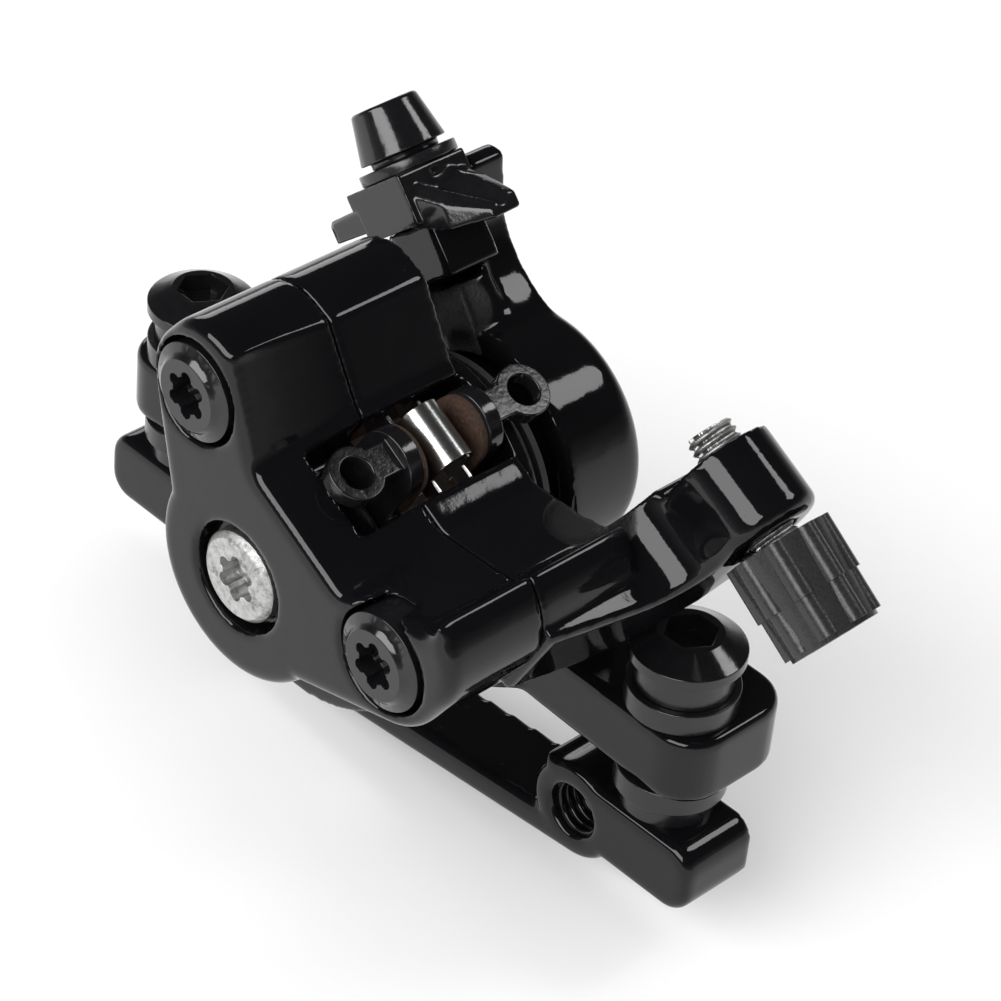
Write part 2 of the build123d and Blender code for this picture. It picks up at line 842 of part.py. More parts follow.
# Foot that the adjuster pushes against the inner pad
with BuildPart() as adjuster_foot:
    turned(
        [
            (0, -pad_back_depth),
            (foot_radius, -pad_back_depth),
            (foot_radius, -pad_back_depth - foot_flange),
            (foot_sleeve_radius, -pad_back_depth - foot_flange),
            (foot_sleeve_radius, -pad_back_depth - foot_length),
            (adjuster_shaft_radius + fit_gap, -pad_back_depth - foot_length),
            (adjuster_shaft_radius + fit_gap, -pad_back_depth - foot_flange),
            (0, -pad_back_depth - foot_flange),
        ]
    )


def pad_outline(neck_top_r):
    """Round pad with a neck that hangs in the opening."""
    Circle(pad_radius)
    with Locations((neck_middle_t, neck_top_r - pad_neck_half)):
        Circle(pad_neck_half)
    with Locations((neck_middle_t, (neck_top_r - pad_neck_half) / 2)):
        Rectangle(2 * pad_neck_half, neck_top_r - pad_neck_half)


def pad_plate(side):
    """Backing plate with its bent tab and eyelet; side is -1 in front, 1 behind."""
    near = side * (pad_gap_half + friction_thickness)
    with BuildSketch(core_plane(near)) as plate:
        pad_outline(pad_neck_top_r)
    extrude(plate.sketch, amount=-side * plate_thickness)
    tab_plane = Plane(
        origin=core_point(neck_middle_t, tab_base_r, 0), x_dir=toward_t, z_dir=toward_r
    )
    far = side * (pad_back_depth + tab_length)
    with BuildSketch(tab_plane) as tab:
        with Locations((0, (side * pad_back_depth + far) / 2 - side * plate_thickness / 4)):
            Rectangle(2 * eyelet_hole_radius, tab_length + plate_thickness / 2)
        with Locations((0, far)):
            Circle(eyelet_radius)
        with Locations((0, far)):
            Circle(eyelet_hole_radius, mode=Mode.SUBTRACT)
    extrude(tab.sketch, amount=plate_thickness)


def pad_friction(side):
    """Friction block; its neck is thinner than its face."""
    near = side * pad_gap_half
    with BuildSketch(core_plane(near)) as face:
        Circle(pad_radius)
    extrude(face.sketch, amount=-side * friction_thickness)
    with BuildSketch(core_plane(near + side * friction_neck_step)) as neck:
        with Locations((neck_middle_t, friction_neck_top_r - pad_neck_half)):
            Circle(pad_neck_half)
        with Locations((neck_middle_t, (friction_neck_top_r - pad_neck_half) / 2)):
            Rectangle(2 * pad_neck_half, friction_neck_top_r - pad_neck_half)
    extrude(neck.sketch, amount=-side * (friction_thickness - friction_neck_step))


with BuildPart() as inner_pad_plate:
    pad_plate(-1)
with BuildPart() as inner_pad_friction:
    pad_friction(-1)
with BuildPart() as outer_pad_plate:
    pad_plate(1)
with BuildPart() as outer_pad_friction:
    pad_friction(1)

# Pad spring: a strip bent over the opening, with a leg beside each pad's neck
with BuildPart() as pad_spring:
    strip_plane = Plane(
        origin=core_point(neck_middle_t - spring_width / 2, 0, 0),
        x_dir=(0, 1, 0),
        z_dir=toward_t,
    )
    with BuildSketch(strip_plane):
        with BuildLine():
            Line((-spring_half, spring_foot_r), (-spring_half, spring_top_r - spring_half))
            RadiusArc(
                (-spring_half, spring_top_r - spring_half),
                (spring_half, spring_top_r - spring_half),
                spring_half,
            )
            Line((spring_half, spring_top_r - spring_half), (spring_half, spring_foot_r))
            inner = spring_half - spring_thickness
            Line((spring_half, spring_foot_r), (inner, spring_foot_r))
            Line((inner, spring_foot_r), (inner, spring_top_r - spring_half))
            RadiusArc(
                (inner, spring_top_r - spring_half), (-inner, spring_top_r - spring_half), -inner
            )
            Line((-inner, spring_top_r - spring_half), (-inner, spring_foot_r))
            Line((-inner, spring_foot_r), (-spring_half, spring_foot_r))
        make_face()
    extrude(amount=spring_width)
    ear_width = 2 * (window_half - moving_gap)
    with BuildSketch(core_plane(spring_half)):
        with Locations((neck_middle_t, spring_ear_r)):
            Rectangle(ear_width, spring_ear_height)
    extrude(amount=spring_thickness)
    with BuildSketch(core_plane(spring_thickness - spring_half)):
        with Locations((neck_middle_t, spring_ear_r)):
            Rectangle(ear_width, spring_ear_height)
    extrude(amount=spring_thickness)

# Foot between the ramp plate and the outer pad
with BuildPart() as pressure_foot:
    foot_back = pad_back_depth + pressure_foot_height
    turned(
        [
            (0, pad_back_depth),
            (pressure_foot_radius, pad_back_depth),
            (pressure_foot_radius, pad_back_depth + pressure_foot_height / 2),
            (pressure_foot_stem_radius, foot_back),
            (0, foot_back),
        ]
    )


def ball_places():
    """Places of the balls about the piston axis, as (t, r)."""
    step = radians(360 / ball_count)
    return [
        (ball_ring_radius * sin(i * step), ball_ring_radius * cos(i * step))
        for i in range(ball_count)
    ]


ball_depth = cam_front_depth - cam_gap / 2


def ball_groove(radius):
    """Round groove that the balls roll in."""
    middle = core_point(ball_ring_radius, 0, ball_depth)
    with BuildSketch(Plane(origin=middle, x_dir=toward_t, z_dir=toward_r)) as groove:
        Circle(radius)
    revolve(groove.sketch, axis=core_axis, mode=Mode.SUBTRACT)


# Ramp plate: a thrust disc with a groove under the ball ring
with BuildPart() as ramp_plate:
    ramp_front = pad_back_depth + pressure_foot_height
    turned(
        [
            (0, ramp_front),
            (ramp_radius, ramp_front),
            (ramp_radius, ramp_front + ramp_height),
            (0, ramp_front + ramp_height),
        ]
    )
    ball_groove(ball_radius + ball_groove_gap)

# Balls between the ramps and the cam
with BuildPart() as cam_balls:
    with Locations(*[core_point(t, r, ball_depth) for t, r in ball_places()]):
        Sphere(ball_radius)

# Drive cam: a flange with a ball groove, on a shaft that carries the lever
with BuildPart() as drive_cam:
    shaft_end = hub_back_depth
    turned(
        [
            (0, cam_front_depth),
            (ramp_radius, cam_front_depth),
            (ramp_radius, cam_back_depth),
            (cam_shaft_radius, cam_back_depth),
            (cam_shaft_radius, shaft_end),
            (0, shaft_end),
        ]
    )
    ball_groove(ball_radius + thread_gap)
    turned(
        [
            (0, shaft_end - lever_bolt_length),
            (lever_bolt_radius + thread_gap, shaft_end - lever_bolt_length),
            (lever_bolt_radius + thread_gap, shaft_end + overrun),
            (0, shaft_end + overrun),
        ],
        mode=Mode.SUBTRACT,
    )

# Thrust bearing behind the cam's flange
with BuildPart() as thrust_bearing:
    turned(
        [
            (cam_shaft_radius + bearing_bore_gap, cam_back_depth + fit_gap),
            (ramp_radius, cam_back_depth + fit_gap),
            (ramp_radius, bearing_back_depth),
            (cam_shaft_radius + bearing_bore_gap, bearing_back_depth),
        ]
    )

# Dust boot: a ribbed ring round the neck
with BuildPart() as dust_boot:
    boot_front = outer_wall_depth
    rib = boot_height / boot_bands
    profile = [(neck_radius, boot_front)]
    for i in range(boot_bands):
        edge = boot_radius - boot_groove_depth * (i % 2)
        profile.append((edge, boot_front + i * rib))
        profile.append((edge, boot_front + (i + 1) * rib))
    profile.append((neck_radius, boot_front + boot_height))
    turned(profile)

# Lever: a hub cup over the neck, an arm with a front rib, and a boss for the clamp bolt
clamp_out = (cos(radians(clamp_turn)), sin(radians(clamp_turn)))
clamp_up = (sin(radians(clamp_turn)), -cos(radians(clamp_turn)))


def clamp_point(out, up, front):
    """Place of a point in the clamp's own directions."""
    t = clamp_t + out * clamp_out[0] + up * clamp_up[0]
    r = clamp_r + out * clamp_out[1] + up * clamp_up[1]
    return core_point(t, r, clamp_depth - front)


out_direction = core_direction(clamp_out)
down_direction = core_direction((-clamp_up[0], -clamp_up[1]))


def clamp_plane(out):
    """Plane across the clamp bolt: x runs down along the plate, y to the front."""
    return Plane(origin=clamp_point(out, 0, 0), x_dir=down_direction, z_dir=out_direction)


def clamp_side(front):
    """Plane along the clamp bolt: x runs out along the bolt, y up along the plate."""
    return Plane(origin=clamp_point(0, 0, front), x_dir=out_direction, z_dir=(0, 1, 0))


def block(plane, x_low, x_high, y_low, y_high, amount, mode=Mode.ADD):
    """Block drawn on a plane between two limits each way."""
    with BuildSketch(plane) as face:
        with Locations(((x_low + x_high) / 2, (y_low + y_high) / 2)):
            Rectangle(x_high - x_low, y_high - y_low)
    extrude(face.sketch, amount=amount, mode=mode)


with BuildPart() as lever_arm:
    with BuildSketch(core_plane(hub_back_depth)):
        Circle(hub_radius)
    extrude(amount=hub_back_depth - hub_front_depth)
    fillet(outer_edges(lever_arm), hub_edge)
    with BuildSketch(core_plane(arm_back_depth)) as arm_outline:
        with BuildLine():
            ThreePointArc(arm_root, arm_dip, arm_rise)
            Line(arm_rise, arm_horn)
            ThreePointArc(arm_horn, arm_horn_crown, arm_horn_end)
            ThreePointArc(arm_horn_end, arm_low_bend, arm_low_root)
            Line(arm_low_root, arm_root)
        make_face()
    with BuildPart(mode=Mode.PRIVATE) as arm:
        extrude(arm_outline.sketch, amount=arm_back_depth - arm_front_depth)
        fillet(outer_edges(arm), arm_edge)
        fillet(outer_edges(arm, last=False), arm_edge)
    add(arm.part)
    with BuildSketch(core_plane(arm_front_depth + arm_edge)):
        with Locations((rib_tip_t, rib_tip_r)):
            Circle(rib_tip_radius)
        with Locations((rib_waist_t, rib_waist_r)):
            Circle(rib_waist_radius)
        make_hull()
    extrude(amount=arm_front_depth + arm_edge - rib_front_depth)
    block(
        core_plane(rib_front_depth),
        rib_step_t,
        0,
        -hub_radius,
        hub_radius,
        -rib_step,
        Mode.SUBTRACT,
    )
    reach = 2 * clamp_plane_reach
    block(
        clamp_plane(-clamp_plate_inner - fit_gap),
        -clamp_plane_reach,
        clamp_plane_reach,
        clamp_depth - clamp_seat_depth,
        reach,
        reach,
        Mode.SUBTRACT,
    )
    block(
        clamp_plane(-clamp_plate_inner - fit_gap),
        -clamp_boss_high,
        clamp_boss_low,
        clamp_depth - clamp_seat_depth,
        clamp_boss_front,
        -clamp_boss_length,
    )
    turned(
        [
            (0, rib_front_depth - overrun),
            (hub_recess_radius, rib_front_depth - overrun),
            (hub_recess_radius, hub_back_depth - hub_end_wall),
            (cam_shaft_radius + thread_gap, hub_back_depth - hub_end_wall),
            (cam_shaft_radius + thread_gap, hub_back_depth + overrun),
            (0, hub_back_depth + overrun),
        ],
        mode=Mode.SUBTRACT,
    )
    with BuildSketch(clamp_plane(-clamp_plate_inner)):
        Circle(clamp_bolt_radius + thread_gap)
    extrude(amount=-clamp_boss_length - overrun, mode=Mode.SUBTRACT)

# Return spring: its closed coils as one ring between the neck and the hub
with BuildPart() as return_spring:
    turned(
        [
            (return_coil_radius - return_wire_radius, neck_depth + moving_gap),
            (return_coil_radius + return_wire_radius, neck_depth + moving_gap),
            (return_coil_radius + return_wire_radius, hub_back_depth - hub_end_wall - moving_gap),
            (return_coil_radius - return_wire_radius, hub_back_depth - hub_end_wall - moving_gap),
        ]
    )

# Washer and bolt that hold the lever on the cam's shaft
with BuildPart() as lever_washer:
    turned(
        [
            (lever_bolt_radius + thread_gap, hub_back_depth),
            (lever_washer_radius, hub_back_depth),
            (lever_washer_radius, hub_back_depth + lever_washer_height),
            (lever_bolt_radius + thread_gap, hub_back_depth + lever_washer_height),
        ]
    )
with BuildPart() as lever_bolt:
    lever_head = hub_back_depth + lever_washer_height
    lever_top = lever_head + lever_bolt_head_height
    turned(
        [
            (0, hub_back_depth - lever_bolt_length + overrun),
            (lever_bolt_radius, hub_back_depth - lever_bolt_length + overrun),
            (lever_bolt_radius, lever_head),
            (lever_bolt_head_radius, lever_head),
            (lever_bolt_head_radius, lever_top - body_bolt_edge),
            (lever_bolt_head_radius - body_bolt_edge, lever_top),
            (0, lever_top),
        ]
    )
    with BuildSketch(core_plane(lever_top)):
        RegularPolygon(lever_socket_across / 2, 6, major_radius=False)
    extrude(amount=lever_bolt_head_height / 2, mode=Mode.SUBTRACT)

# Cable clamp: plate with a lug and a grooved beak, a washer and a tall round-headed bolt
with BuildPart() as clamp_plate:
    with BuildSketch(clamp_side(clamp_plate_front)) as beak:
        with BuildLine():
            Polyline(
                (-clamp_plate_inner, clamp_plate_high),
                (-clamp_plate_inner - beak_drop, beak_knee_up),
                (-clamp_plate_inner - beak_drop, beak_reach),
                (beak_tip_height - clamp_plate_inner - beak_drop, beak_reach),
                (clamp_plate_outer - clamp_lip, clamp_plate_high),
                close=True,
            )
        make_face()
    extrude(beak.sketch, amount=clamp_plate_front + beak_tip_back)
    with BuildSketch(clamp_plane(-clamp_plate_inner - beak_drop - overrun)) as beak_front:
        with BuildLine():
            Polyline(
                (-clamp_plate_high, clamp_plate_front),
                (-beak_knee_up, beak_knee_front),
                (-beak_reach, beak_tip_front),
                (-beak_reach - overrun, beak_tip_front),
                (-beak_reach - overrun, clamp_plate_front + overrun),
                (-clamp_plate_high, clamp_plate_front + overrun),
                close=True,
            )
        make_face()
    beak_height = clamp_plate_inner + beak_drop + clamp_plate_outer + 2 * overrun
    extrude(beak_front.sketch, amount=beak_height, mode=Mode.SUBTRACT)
    groove_foot = clamp_point(clamp_plate_outer - clamp_lip, clamp_plate_high, beak_groove_front)
    groove_tip = clamp_point(
        beak_tip_height - clamp_plate_inner - beak_drop, beak_reach, beak_groove_front
    )
    along = tuple(groove_tip[i] - groove_foot[i] for i in range(3))
    with BuildSketch(Plane(origin=groove_foot, z_dir=along)) as beak_groove:
        Circle(beak_groove_radius)
    extrude(beak_groove.sketch, amount=2 * beak_reach, mode=Mode.SUBTRACT)
    block(
        clamp_plane(-clamp_plate_inner),
        -clamp_plate_high,
        clamp_plate_low,
        -clamp_plate_back,
        clamp_plate_front,
        clamp_plate_inner + clamp_plate_outer,
    )
    block(
        clamp_plane(clamp_plate_outer - clamp_lip_height),
        0,
        clamp_plate_low + clamp_lip,
        -clamp_plate_back,
        clamp_plate_front,
        clamp_lip_height,
    )
    block(
        clamp_plane(-clamp_lug_low),
        0,
        clamp_plate_low + clamp_lug_length,
        clamp_lug_back,
        clamp_lug_front,
        clamp_lug_low + clamp_lug_high,
    )
    with BuildSketch(clamp_plane(-clamp_plate_inner - overrun)):
        Circle(clamp_bolt_radius + thread_gap)
    extrude(amount=clamp_plate_inner + clamp_plate_outer + 2 * overrun, mode=Mode.SUBTRACT)
with BuildPart() as clamp_washer:
    with BuildSketch(clamp_plane(clamp_plate_outer)):
        Circle(clamp_washer_radius)
        Circle(clamp_bolt_radius + thread_gap, mode=Mode.SUBTRACT)
    extrude(amount=clamp_washer_height)
with BuildPart() as clamp_bolt:
    clamp_seat = clamp_plate_outer + clamp_washer_height
    with BuildSketch(clamp_plane(clamp_seat - clamp_bolt_length)):
        Circle(clamp_bolt_radius)
    extrude(amount=clamp_bolt_length)
    with BuildSketch(clamp_plane(clamp_seat)):
        Circle(clamp_collar_radius)
    extrude(amount=clamp_collar_height)
    with BuildSketch(clamp_plane(clamp_seat + clamp_collar_height)) as head_base:
        Circle(clamp_head_base_radius)
    with BuildSketch(
        clamp_plane(clamp_seat + clamp_collar_height + clamp_head_height)
    ) as head_top:
        Circle(clamp_head_top_radius)
    loft()
    top_ring = clamp_bolt.edges().filter_by(GeomType.CIRCLE).filter_by(
        lambda edge: abs(edge.radius - clamp_head_top_radius) < fit_gap
    )
    fillet(top_ring, clamp_head_edge)

# Barrel adjuster: a threaded tube through the stop, and a ribbed knob on its end
with BuildPart() as cable_barrel:
    stop_length = stop_end_t - stop_start_t
    with BuildSketch(barrel_plane(-stop_length - barrel_stub)):
        Circle(barrel_radius)
        Circle(barrel_bore_radius, mode=Mode.SUBTRACT)
    extrude(amount=stop_length + barrel_stub + knob_gap + barrel_in_knob)
with BuildPart() as barrel_knob:
    with BuildSketch(barrel_plane(knob_gap)):
        Circle(knob_radius)
    with BuildSketch(barrel_plane(knob_gap + knob_length)):
        Circle(knob_end_radius)
    loft()
    for i in range(knob_rib_count):
        turn = radians(360 * i / knob_rib_count)
        rib_ring = knob_radius + knob_rib_proud - knob_rib_radius
        with BuildSketch(barrel_plane(knob_gap)) as knob_rib:
            with Locations((rib_ring * cos(turn), rib_ring * sin(turn))):
                Circle(knob_rib_radius)
        extrude(knob_rib.sketch, amount=knob_rib_length)
        step_ring = rib_ring - knob_step
        with BuildSketch(barrel_plane(knob_gap)) as knob_low_rib:
            with Locations((step_ring * cos(turn), step_ring * sin(turn))):
                Circle(knob_rib_radius)
        extrude(knob_low_rib.sketch, amount=knob_length - knob_rib_proud)
    with BuildSketch(barrel_plane(knob_gap + knob_length)):
        Circle(knob_bore_radius)
    extrude(amount=-knob_bore_length, mode=Mode.SUBTRACT)
    with BuildSketch(barrel_plane(knob_gap)):
        Circle(barrel_radius + fit_gap)
    extrude(amount=knob_length - knob_bore_length, mode=Mode.SUBTRACT)

pieces = {
    "adapter_bracket": adapter_bracket,
    "mount_bolts": mount_bolts,
    "upper_ball_washers": upper_ball_washers,
    "upper_cup_washers": upper_cup_washers,
    "lower_cup_washers": lower_cup_washers,
    "lower_ball_washers": lower_ball_washers,
    "outer_housing": outer_housing,
    "inner_housing": inner_housing,
    "body_bolts": body_bolts,
    "pad_adjuster": pad_adjuster,
    "adjuster_seal": adjuster_seal,
    "adjuster_foot": adjuster_foot,
    "inner_pad_plate": inner_pad_plate,
    "inner_pad_friction": inner_pad_friction,
    "outer_pad_plate": outer_pad_plate,
    "outer_pad_friction": outer_pad_friction,
    "pad_spring": pad_spring,
    "pressure_foot": pressure_foot,
    "ramp_plate": ramp_plate,
    "cam_balls": cam_balls,
    "drive_cam": drive_cam,
    "thrust_bearing": thrust_bearing,
    "dust_boot": dust_boot,
    "lever_arm": lever_arm,
    "return_spring": return_spring,
    "lever_washer": lever_washer,
    "lever_bolt": lever_bolt,
    "clamp_plate": clamp_plate,
    "clamp_washer": clamp_washer,
    "clamp_bolt": clamp_bolt,
    "cable_barrel": cable_barrel,
    "barrel_knob": barrel_knob,
}
os.makedirs("parts", exist_ok=True)
for name, piece in pieces.items():
    piece.part.label = name
    export_step(piece.part, f"parts/{name}.step")
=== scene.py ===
"""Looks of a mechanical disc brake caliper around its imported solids."""

import json
import math

import bmesh
import bpy
from mathutils import Matrix, Vector


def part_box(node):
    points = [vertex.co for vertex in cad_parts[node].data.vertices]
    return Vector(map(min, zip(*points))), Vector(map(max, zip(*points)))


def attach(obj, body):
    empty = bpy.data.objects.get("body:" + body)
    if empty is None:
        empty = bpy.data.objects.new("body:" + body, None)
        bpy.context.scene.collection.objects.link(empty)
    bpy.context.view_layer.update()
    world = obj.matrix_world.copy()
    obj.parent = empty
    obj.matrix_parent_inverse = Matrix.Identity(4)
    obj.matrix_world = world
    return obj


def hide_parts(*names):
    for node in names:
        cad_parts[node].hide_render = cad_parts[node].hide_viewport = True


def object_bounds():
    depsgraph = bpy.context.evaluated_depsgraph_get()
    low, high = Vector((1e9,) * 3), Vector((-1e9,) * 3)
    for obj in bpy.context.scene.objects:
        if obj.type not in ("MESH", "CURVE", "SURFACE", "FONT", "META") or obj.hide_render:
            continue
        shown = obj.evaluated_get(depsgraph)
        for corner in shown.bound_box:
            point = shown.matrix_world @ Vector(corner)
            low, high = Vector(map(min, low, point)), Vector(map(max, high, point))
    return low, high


bl_info = {
    "name": "Disc brake caliper looks",
    "version": (1, 0, 0),
    "blender": (4, 5, 0),
    "location": "3D View > Sidebar > Caliper",
    "description": "Paint, metal, threads and stage of a mechanical disc brake caliper",
    "category": "Object",
}

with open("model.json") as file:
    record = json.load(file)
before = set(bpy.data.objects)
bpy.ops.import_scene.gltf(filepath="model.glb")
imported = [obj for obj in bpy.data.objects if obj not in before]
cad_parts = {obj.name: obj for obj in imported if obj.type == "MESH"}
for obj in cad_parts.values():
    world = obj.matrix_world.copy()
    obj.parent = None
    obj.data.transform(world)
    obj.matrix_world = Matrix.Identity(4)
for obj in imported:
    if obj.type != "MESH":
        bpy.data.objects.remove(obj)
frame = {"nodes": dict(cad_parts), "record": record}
cad_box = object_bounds()
nodes = frame["nodes"]
body_of = {
    node: body
    for body, members in frame["record"]["behaviour"]["bodies"].items() for node in members
}
slot_of = {entry["node"]: entry["material_slot"] for entry in frame["record"]["subparts"]}

MM = 0.001

# Corners closer than this are one corner.
MERGE = 0.002 * MM

# Sockets of a Mix node that mixes colours.
MIX_FACTOR, MIX_FIRST, MIX_SECOND, MIX_RESULT = 0, 6, 7, 2

# Soft boxes: name, azimuth and elevation in degrees, width and height in metres, and the
# stage setting that gives the glow. Azimuth 0 is in front of the brake, towards -Y.
SOFT_BOXES = (
    ("key_box", 2, 38, 1.0, 0.4, "key_glow"),
    ("back_box", 150, 46, 0.2, 0.2, "key_glow"),
    ("left_box", -122, 14, 0.4, 0.2, "rim_glow"),
)

# Sky that gloss reflects, from the horizon up: (height, grey level).
SKY_LEVELS = ((0.0, 0.5), (0.1, 0.25), (0.3, 0.04), (1.0, 0.02))

# Sections across the clamp plate's beak (foot, knee, tip) and across its lug (foot, end).
# Each goes round from the front foot; a point is (front, out from the lever) in mm.
BEAK_SECTIONS = (
    ((5.2, -2.3), (5.2, 1.6), (4.3, 2.6), (1.5, 1.2), (-0.9, 2.6), (-3.0, 2.0), (-3.0, -2.3)),
    ((4.5, -3.7), (4.2, -1.2), (3.1, 0.1), (1.4, -1.4), (-0.5, 0.6), (-2.4, -0.2), (-2.4, -3.8)),
    ((1.6, -4.3), (1.6, -3.4), (0.9, -2.8), (0.1, -3.4), (-0.9, -2.3), (-1.9, -2.6), (-1.9, -4.2)),
)
LUG_SECTIONS = (
    ((5.0, -1.0), (5.0, 1.3), (4.6, 1.7), (1.9, 1.7), (1.5, 1.3), (1.5, -1.0)),
    ((4.8, -0.9), (4.8, 1.0), (4.4, 1.5), (2.1, 1.5), (1.7, 1.0), (1.7, -0.9)),
)


# Property groups


class StageSettings(bpy.types.PropertyGroup):
    """Camera, floor and lamps."""

    camera_place: bpy.props.FloatVectorProperty(
        name="Camera place", description="Where the camera stands", subtype="TRANSLATION",
        unit="LENGTH", default=(0.18564, -0.22573, 0.25748),
    )
    camera_azimuth: bpy.props.FloatProperty(
        name="Azimuth", description="Turn of the camera round the object", subtype="ANGLE",
        default=math.radians(42.72),
    )
    camera_elevation: bpy.props.FloatProperty(
        name="Elevation", description="Height angle of the camera", subtype="ANGLE",
        default=math.radians(37.47),
    )
    camera_roll: bpy.props.FloatProperty(
        name="Roll", description="Tilt of the picture", subtype="ANGLE",
        default=math.radians(5.77),
    )
    camera_lens: bpy.props.FloatProperty(
        name="Lens", description="Focal length in mm", default=134.12,
    )
    camera_sensor: bpy.props.FloatProperty(
        name="Sensor", description="Width of the sensor in mm", default=36.0,
    )
    camera_near: bpy.props.FloatProperty(
        name="Near limit", description="What is nearer to the camera isn't shown",
        unit="LENGTH", default=10 * MM,
    )
    floor_size: bpy.props.FloatProperty(
        name="Floor size", description="Side of the square floor", unit="LENGTH", default=3.0,
    )
    floor_gap: bpy.props.FloatProperty(
        name="Floor gap", description="Space between the floor and the bracket's foot",
        unit="LENGTH", default=0.05 * MM,
    )
    floor_colour: bpy.props.FloatVectorProperty(
        name="Floor", description="Colour of the floor", subtype="COLOR", size=3,
        default=(0.72, 0.72, 0.72),
    )
    sky_strength: bpy.props.FloatProperty(
        name="Sky", description="Soft light from all round", default=0.9,
    )
    lamp_target: bpy.props.FloatVectorProperty(
        name="Lamp target", description="Point that the soft boxes face",
        subtype="TRANSLATION", unit="LENGTH", default=(-0.02, -0.01, 0.03),
    )
    lamp_distance: bpy.props.FloatProperty(
        name="Lamp distance", description="From the target to each soft box", unit="LENGTH",
        default=0.8,
    )
    key_glow: bpy.props.FloatProperty(
        name="Key glow", description="Brightness of the main soft boxes", default=7.0,
    )
    rim_glow: bpy.props.FloatProperty(
        name="Rim glow", description="Brightness of the low soft box", default=2.4,
    )


class PaintSettings(bpy.types.PropertyGroup):
    """Colours of the finishes, and rough skin on the castings."""

    paint: bpy.props.FloatVectorProperty(
        name="Paint", description="Gloss black of the castings", subtype="COLOR", size=3,
        default=(0.0022, 0.0022, 0.0026),
    )
    coated: bpy.props.FloatVectorProperty(
        name="Coated steel", description="Black of bolts and washers", subtype="COLOR", size=3,
        default=(0.003, 0.003, 0.0034),
    )
    plastic: bpy.props.FloatVectorProperty(
        name="Plastic", description="Black of the moulded knob", subtype="COLOR", size=3,
        default=(0.011, 0.011, 0.0115),
    )
    friction: bpy.props.FloatVectorProperty(
        name="Friction", description="Brown of the pads' lining", subtype="COLOR", size=3,
        default=(0.05, 0.026, 0.016),
    )
    alloy: bpy.props.FloatVectorProperty(
        name="Alloy", description="Bright machined alloy", subtype="COLOR", size=3,
        default=(0.56, 0.56, 0.55),
    )
    steel: bpy.props.FloatVectorProperty(
        name="Steel", description="Plain steel", subtype="COLOR", size=3,
        default=(0.5, 0.5, 0.49),
    )
    rubber: bpy.props.FloatVectorProperty(
        name="Rubber", description="Matt black rubber", subtype="COLOR", size=3,
        default=(0.015, 0.015, 0.015),
    )
    lever_pits: bpy.props.FloatVectorProperty(
        name="Lever pits", description="Middle of the rough skin beside the lever's rib",
        subtype="TRANSLATION", unit="LENGTH", default=(-0.0288, -0.0034, 0.0440),
    )
    lever_pits_reach: bpy.props.FloatProperty(
        name="Lever pits' reach", description="Radius of the rough skin beside the rib",
        unit="LENGTH", default=4.5 * MM,
    )
    lever_pits_low: bpy.props.FloatVectorProperty(
        name="Lower lever pits", description="Rough skin at the foot of the rib",
        subtype="TRANSLATION", unit="LENGTH", default=(-0.0265, -0.0030, 0.0405),
    )
    lever_pits_low_reach: bpy.props.FloatProperty(
        name="Lower lever pits' reach", description="Radius of the rough skin at the rib's foot",
        unit="LENGTH", default=3.0 * MM,
    )
    valley_pits: bpy.props.FloatVectorProperty(
        name="Valley pits", description="Rough skin where the stop arm leaves the housing",
        subtype="TRANSLATION", unit="LENGTH", default=(0.0009, -0.0130, 0.0410),
    )
    valley_pits_reach: bpy.props.FloatProperty(
        name="Valley pits' reach", description="Radius of the rough skin at the stop arm",
        unit="LENGTH", default=5.0 * MM,
    )


class EdgeSettings(bpy.types.PropertyGroup):
    """Rounding of edges that catch the light."""

    casting_grain: bpy.props.FloatProperty(
        name="Casting grain", description="Grid that large castings are softened on",
        unit="LENGTH", default=0.36 * MM,
    )
    casting_passes: bpy.props.IntProperty(
        name="Casting passes", description="How far large castings are softened", default=5,
    )
    lever_passes: bpy.props.IntProperty(
        name="Lever passes", description="How far the lever is softened", default=12,
    )
    clamp_grain: bpy.props.FloatProperty(
        name="Clamp grain", description="Grid that the clamp plate is softened on",
        unit="LENGTH", default=0.16 * MM,
    )
    clamp_passes: bpy.props.IntProperty(
        name="Clamp passes", description="How far the clamp plate is softened", default=9,
    )
    steel_edge: bpy.props.FloatProperty(
        name="Steel edge", description="Round on turned and pressed steel",
        unit="LENGTH", default=0.18 * MM,
    )
    fine_edge: bpy.props.FloatProperty(
        name="Fine edge", description="Round on small moulded and drilled edges",
        unit="LENGTH", default=0.07 * MM,
    )
    edge_segments: bpy.props.IntProperty(
        name="Edge segments", description="Facets across a rounded edge", default=3,
    )
    softening: bpy.props.FloatProperty(
        name="Softening", description="How far a corner moves in each pass", default=0.5,
    )
    sharp_angle: bpy.props.FloatProperty(
        name="Sharp angle", description="Edges sharper than this are rounded",
        subtype="ANGLE", default=math.radians(30),
    )
    flat_angle: bpy.props.FloatProperty(
        name="Flat angle", description="Faces closer than this are joined first",
        subtype="ANGLE", default=math.radians(1),
    )


